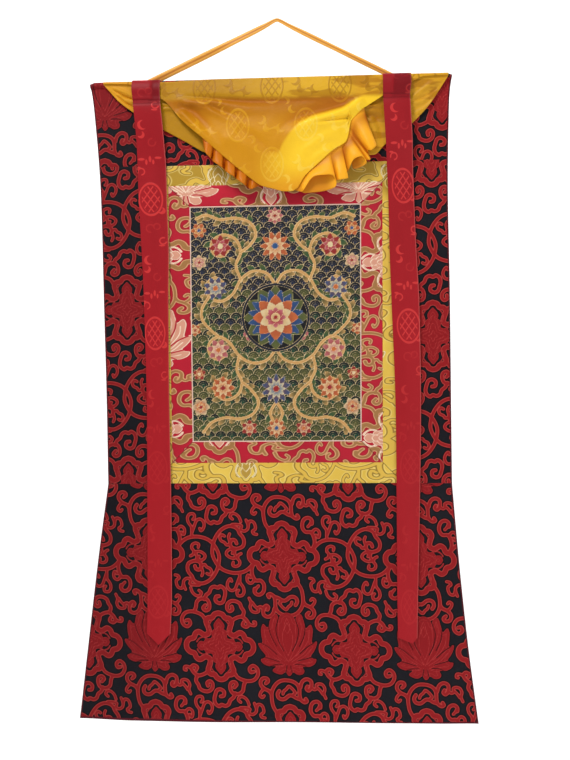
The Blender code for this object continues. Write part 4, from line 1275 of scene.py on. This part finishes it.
# The places over the top edge, z and y, and each ribbon's z, y, left and right edge down the front.
OVER_THE_TOP = tenths((
    (-1200, -55), (-1080, -50), (-1028, -70), (-1011, -120), (-1016, -165), (-1030, -205), (-1062, -242),
    (-1120, -268),
))
LEFT_RIBBON = tenths((
    (-1200, -280, -2454, -1978), (-1320, -270, -2443, -1975), (-1500, -290, -2426, -1959),
    (-1750, -272, -2402, -1936), (-2100, -215, -2387, -1916), (-2500, -172, -2381, -1894),
    (-3052, -168, -2368, -1885), (-3900, -176, -2323, -1860), (-4747, -178, -2290, -1870),
    (-6441, -174, -2256, -1871), (-8134, -180, -2259, -1852), (-9827, -172, -2272, -1858),
    (-10405, -166, -2290, -1889),
))
RIGHT_RIBBON = tenths((
    (-1200, -280, 1773, 2245), (-1380, -270, 1774, 2224), (-1560, -290, 1781, 2229),
    (-1804, -290, 1794, 2240), (-2150, -272, 1814, 2256), (-2500, -215, 1828, 2260),
    (-3138, -174, 1851, 2279), (-3950, -168, 1863, 2307), (-4806, -178, 1888, 2346),
    (-6472, -172, 1939, 2362), (-8138, -178, 1944, 2330), (-9805, -170, 1943, 2282),
    (-10440, -168, 1950, 2269),
))
# A ribbon's first roundel, how far across it the roundels are woven, their period, and where it is folded.
Damask = namedtuple("Damask", "first middle period fold_at fold_z")
LEFT_DAMASK = Damask(-0.3040, 0.43, 0.2275, 0.70, -0.1405)
RIGHT_DAMASK = Damask(-0.2900, 0.59, 0.2342, 0.39, -0.1410)


def both_faces(middle, half):
    """Lays a cloth's front and back on either side of the middle surface that a function gives."""

    def place(u, v, w):
        left, right = (np.stack(middle(np.clip(u + step, 0, 1), v)) for step in (-0.02, 0.02))
        low, high = (np.stack(middle(u, np.clip(v + step, 0, 1))) for step in (-0.0008, 0.0008))
        normal = np.cross((right - left).T, (high - low).T).T
        normal /= np.linalg.norm(normal, axis=0) + 1e-12
        return np.stack(middle(u, v)) + normal * half * (1 - 2 * w)

    return place


def beside_fold(u, damask):
    return ease(damask.fold_at - CREASED, damask.fold_at + CREASED, u)


def ribbon(table, point_at, point_long, damask):
    """A ribbon down its table of places, its foot cut to a point at a share of its width."""
    left_top, right_top = table[0, 2:]
    knots = [(z, y, left_top, right_top) for z, y in OVER_THE_TOP]
    for z, y, left, right in table:
        knots.append((z, y + float(relief((left + right) / 2, z)) - CLOTH_Y, left, right))

    def middle(u, v):
        z, y, left, right = curve_through(knots, 1 - v).T
        tip = np.clip((POINTED - v) / POINTED, 0, 1)
        z = z - tip * point_long * np.minimum(u / point_at, (1 - u) / (1 - point_at))
        in_front = ease(-0.018, -0.024, y)
        cup = 0.0010 * np.cos(np.pi * (u - 0.5)) * ease(0.0, 0.1, 1 - v)
        cup -= 0.0022 * bump(z - damask.fold_z, 0.0035) * in_front
        cup -= 0.0014 * beside_fold(u, damask) * ease(damask.fold_z, -0.132, z) * in_front
        return lerp(left, right, u), y - cup, z

    return middle


def gap_ring(u, v, x, z, size, off_x, off_z):
    """A thin ring, open on one side."""
    out = disc(u, v, x, z, size, size)
    gap = 0 - disc(u, v, x + off_x, z + off_z, size * 0.6, size * 0.6)
    return out.maths("MAXIMUM", out.maths("ABSOLUTE", out) - 1.2, gap)


red_damask = Finish("red_damask", Roughness=0.42, Specular_IOR_Level=0.12)
mix, value, mottle = red_damask.mix, red_damask.value, red_damask.mottle
u, v = value("across"), value("along")
up = v.maths("WRAP", v, REPEAT_ABOVE, REPEAT_ABOVE - RIBBON_REPEAT)
crescents = ((17, -20, 6, -4, 3), (-8, -105, 8, 4, 1), (-11, -121, 6, -3, 3))
open_rings = ((17, -72, 5.5, 5, 2), (-14, -183, 5.5, -3, -5))
dashes = (
    (15, -80, 5.0, 1.6), (-13, -162, 5.5, 2.2), (-5, -167, 2.0, 4.6), (1, -162, 2.2, 5.2),
    (6, -167, 1.8, 4.0), (14, -160, 5.5, 2.0), (-18, -176, 3.5, 1.6),
)
faint_rings = ((-3, -50, 6.5, 4, -4), (8, -47, 5.0, -4, -3), (6, -134, 6, 4, 4))
figures = least(
    roundel(u, up), *several(crescent, u, up, crescents), *several(gap_ring, u, up, open_rings),
    *several(disc, u, up, dashes),
)
faint = least(*several(gap_ring, u, up, faint_rings))
worn = 1.0 - v.under(-330.0, 90.0) * 0.8
figures_on = (figures.under(0.0, 0.4) + faint.under(0.0, 0.4) * 0.3) * worn
cloth = mix(v.under(-150.0, 260.0), dye(148, 24, 31), dye(162, 25, 33))
cloth = mix(mottle(16.0, stretch=(2.0, 1.0, 0.6)) * 0.35, cloth, dye(196, 38, 48))
cloth = mix(figures_on, cloth, dye(206, 54, 54))
# Painted highlight: a thin pale line along each ribbon's right edge.
cloth = mix(value("painted_edge_highlight").under(1.3, 0.5) * 0.5, cloth, dye(206, 96, 92))
# Painted shade: dark along each ribbon's fold.
cloth = mix(value("painted_fold_shade") * 0.8, cloth, dye(56, 2, 10))
red_damask.wear(Base_Color=cloth, Roughness=0.46 - figures_on * 0.14)
red_damask.raise_by(figures_on * 0.5 + mottle(1300.0) * 0.3 + mottle(30.0) * 1.5, 0.0004)


def painted_fold_shade(at):
    """The painted shade on the ribbon in hand, along its fold and beside the fold above it."""
    folded = bump(at.z - damask.fold_z, 0.0050) * ease(-0.05, -0.02, at.y)
    over = ease(damask.fold_z, damask.fold_z + 0.004, at.z) * (0.25 + 0.55 * beside_fold(at.u, damask)) * 0.7
    return np.maximum(folded, over)


for side, table, point_at, point_long, damask, area in (
    ("left", LEFT_RIBBON, 0.5, 0.0190, LEFT_DAMASK, 0.0440),
    ("right", RIGHT_RIBBON, 0.75, 0.0095, RIGHT_DAMASK, 0.0430),
):
    laid = both_faces(ribbon(table, point_at, point_long, damask), RIBBON_THICK / 2)
    strip = piece_of(
        f"ribbon_silk_{side}", fine_front(4, 88, 4), laid, red_damask,
        {
            "painted_edge_highlight": lambda at: RIBBON_WIDE * (1 - at.u),
            "across": lambda at: RIBBON_WIDE * (at.u - damask.middle),
            "along": lambda at: RIBBON_REPEAT * (at.z - damask.first) / damask.period,
            "painted_fold_shade": painted_fold_shade,
        },
    )
    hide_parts(f"ribbon_{side}")


# The stage: a pale floor that rises into a pale backdrop, and soft light from above and both sides.

FLOOR_Z = -1.60
FLAT_ROWS, BEND_ROWS, RISE_ROWS = 6, 10, 8


def sweep(u, v, w):
    along = v * (FLAT_ROWS + BEND_ROWS + RISE_ROWS)
    bent = along - FLAT_ROWS
    risen = bent - BEND_ROWS
    bend = np.clip(bent / BEND_ROWS, 0, 1) * np.pi / 2
    y = np.where(bent < 0, lerp(-6.0, 1.6, along / FLAT_ROWS), 1.6 + 1.2 * np.sin(bend))
    z = np.where(risen > 0, 5.0 * risen / RISE_ROWS + 1.2, 1.2 * (1 - np.cos(bend)))
    return lerp(-8.0, 8.0, u), y, z + FLOOR_Z


pale = Finish("studio_paper", Base_Color=dye(250, 250, 250), Roughness=0.9)
floor = object_of("studio_floor", grid(1, FLAT_ROWS + BEND_ROWS + RISE_ROWS), sweep, pale)

Lamp = namedtuple("Lamp", "name at aim size power")
for lamp in (
    Lamp("key", (-0.7, -1.4, 1.3), (0.0, 0.0, -0.5), 0.6, 30),
    Lamp("fill", (1.0, -2.6, -0.8), (0.0, 0.0, -0.8), 1.6, 12),
    Lamp("backdrop_left", (-2.2, 0.6, 1.4), (-0.4, 2.8, -0.6), 2.0, 60),
    Lamp("backdrop_right", (2.2, 0.6, 1.4), (0.4, 2.8, -0.6), 2.0, 60),
):
    light = bpy.data.lights.new(lamp.name, "AREA")
    light.size = lamp.size
    light.energy = lamp.power
    made = bpy.data.objects.new(lamp.name, light)
    made.location = lamp.at
    made.rotation_euler = (Vector(lamp.aim) - Vector(lamp.at)).to_track_quat("-Z", "Y").to_euler()
    bpy.context.collection.objects.link(made)

world = bpy.data.worlds.new("studio")
bpy.context.scene.world = world
world.use_nodes = True
backdrop = world.node_tree.nodes["Background"]
backdrop.inputs["Color"].default_value = (1.0, 1.0, 1.0, 1.0)
backdrop.inputs["Strength"].default_value = 0.35
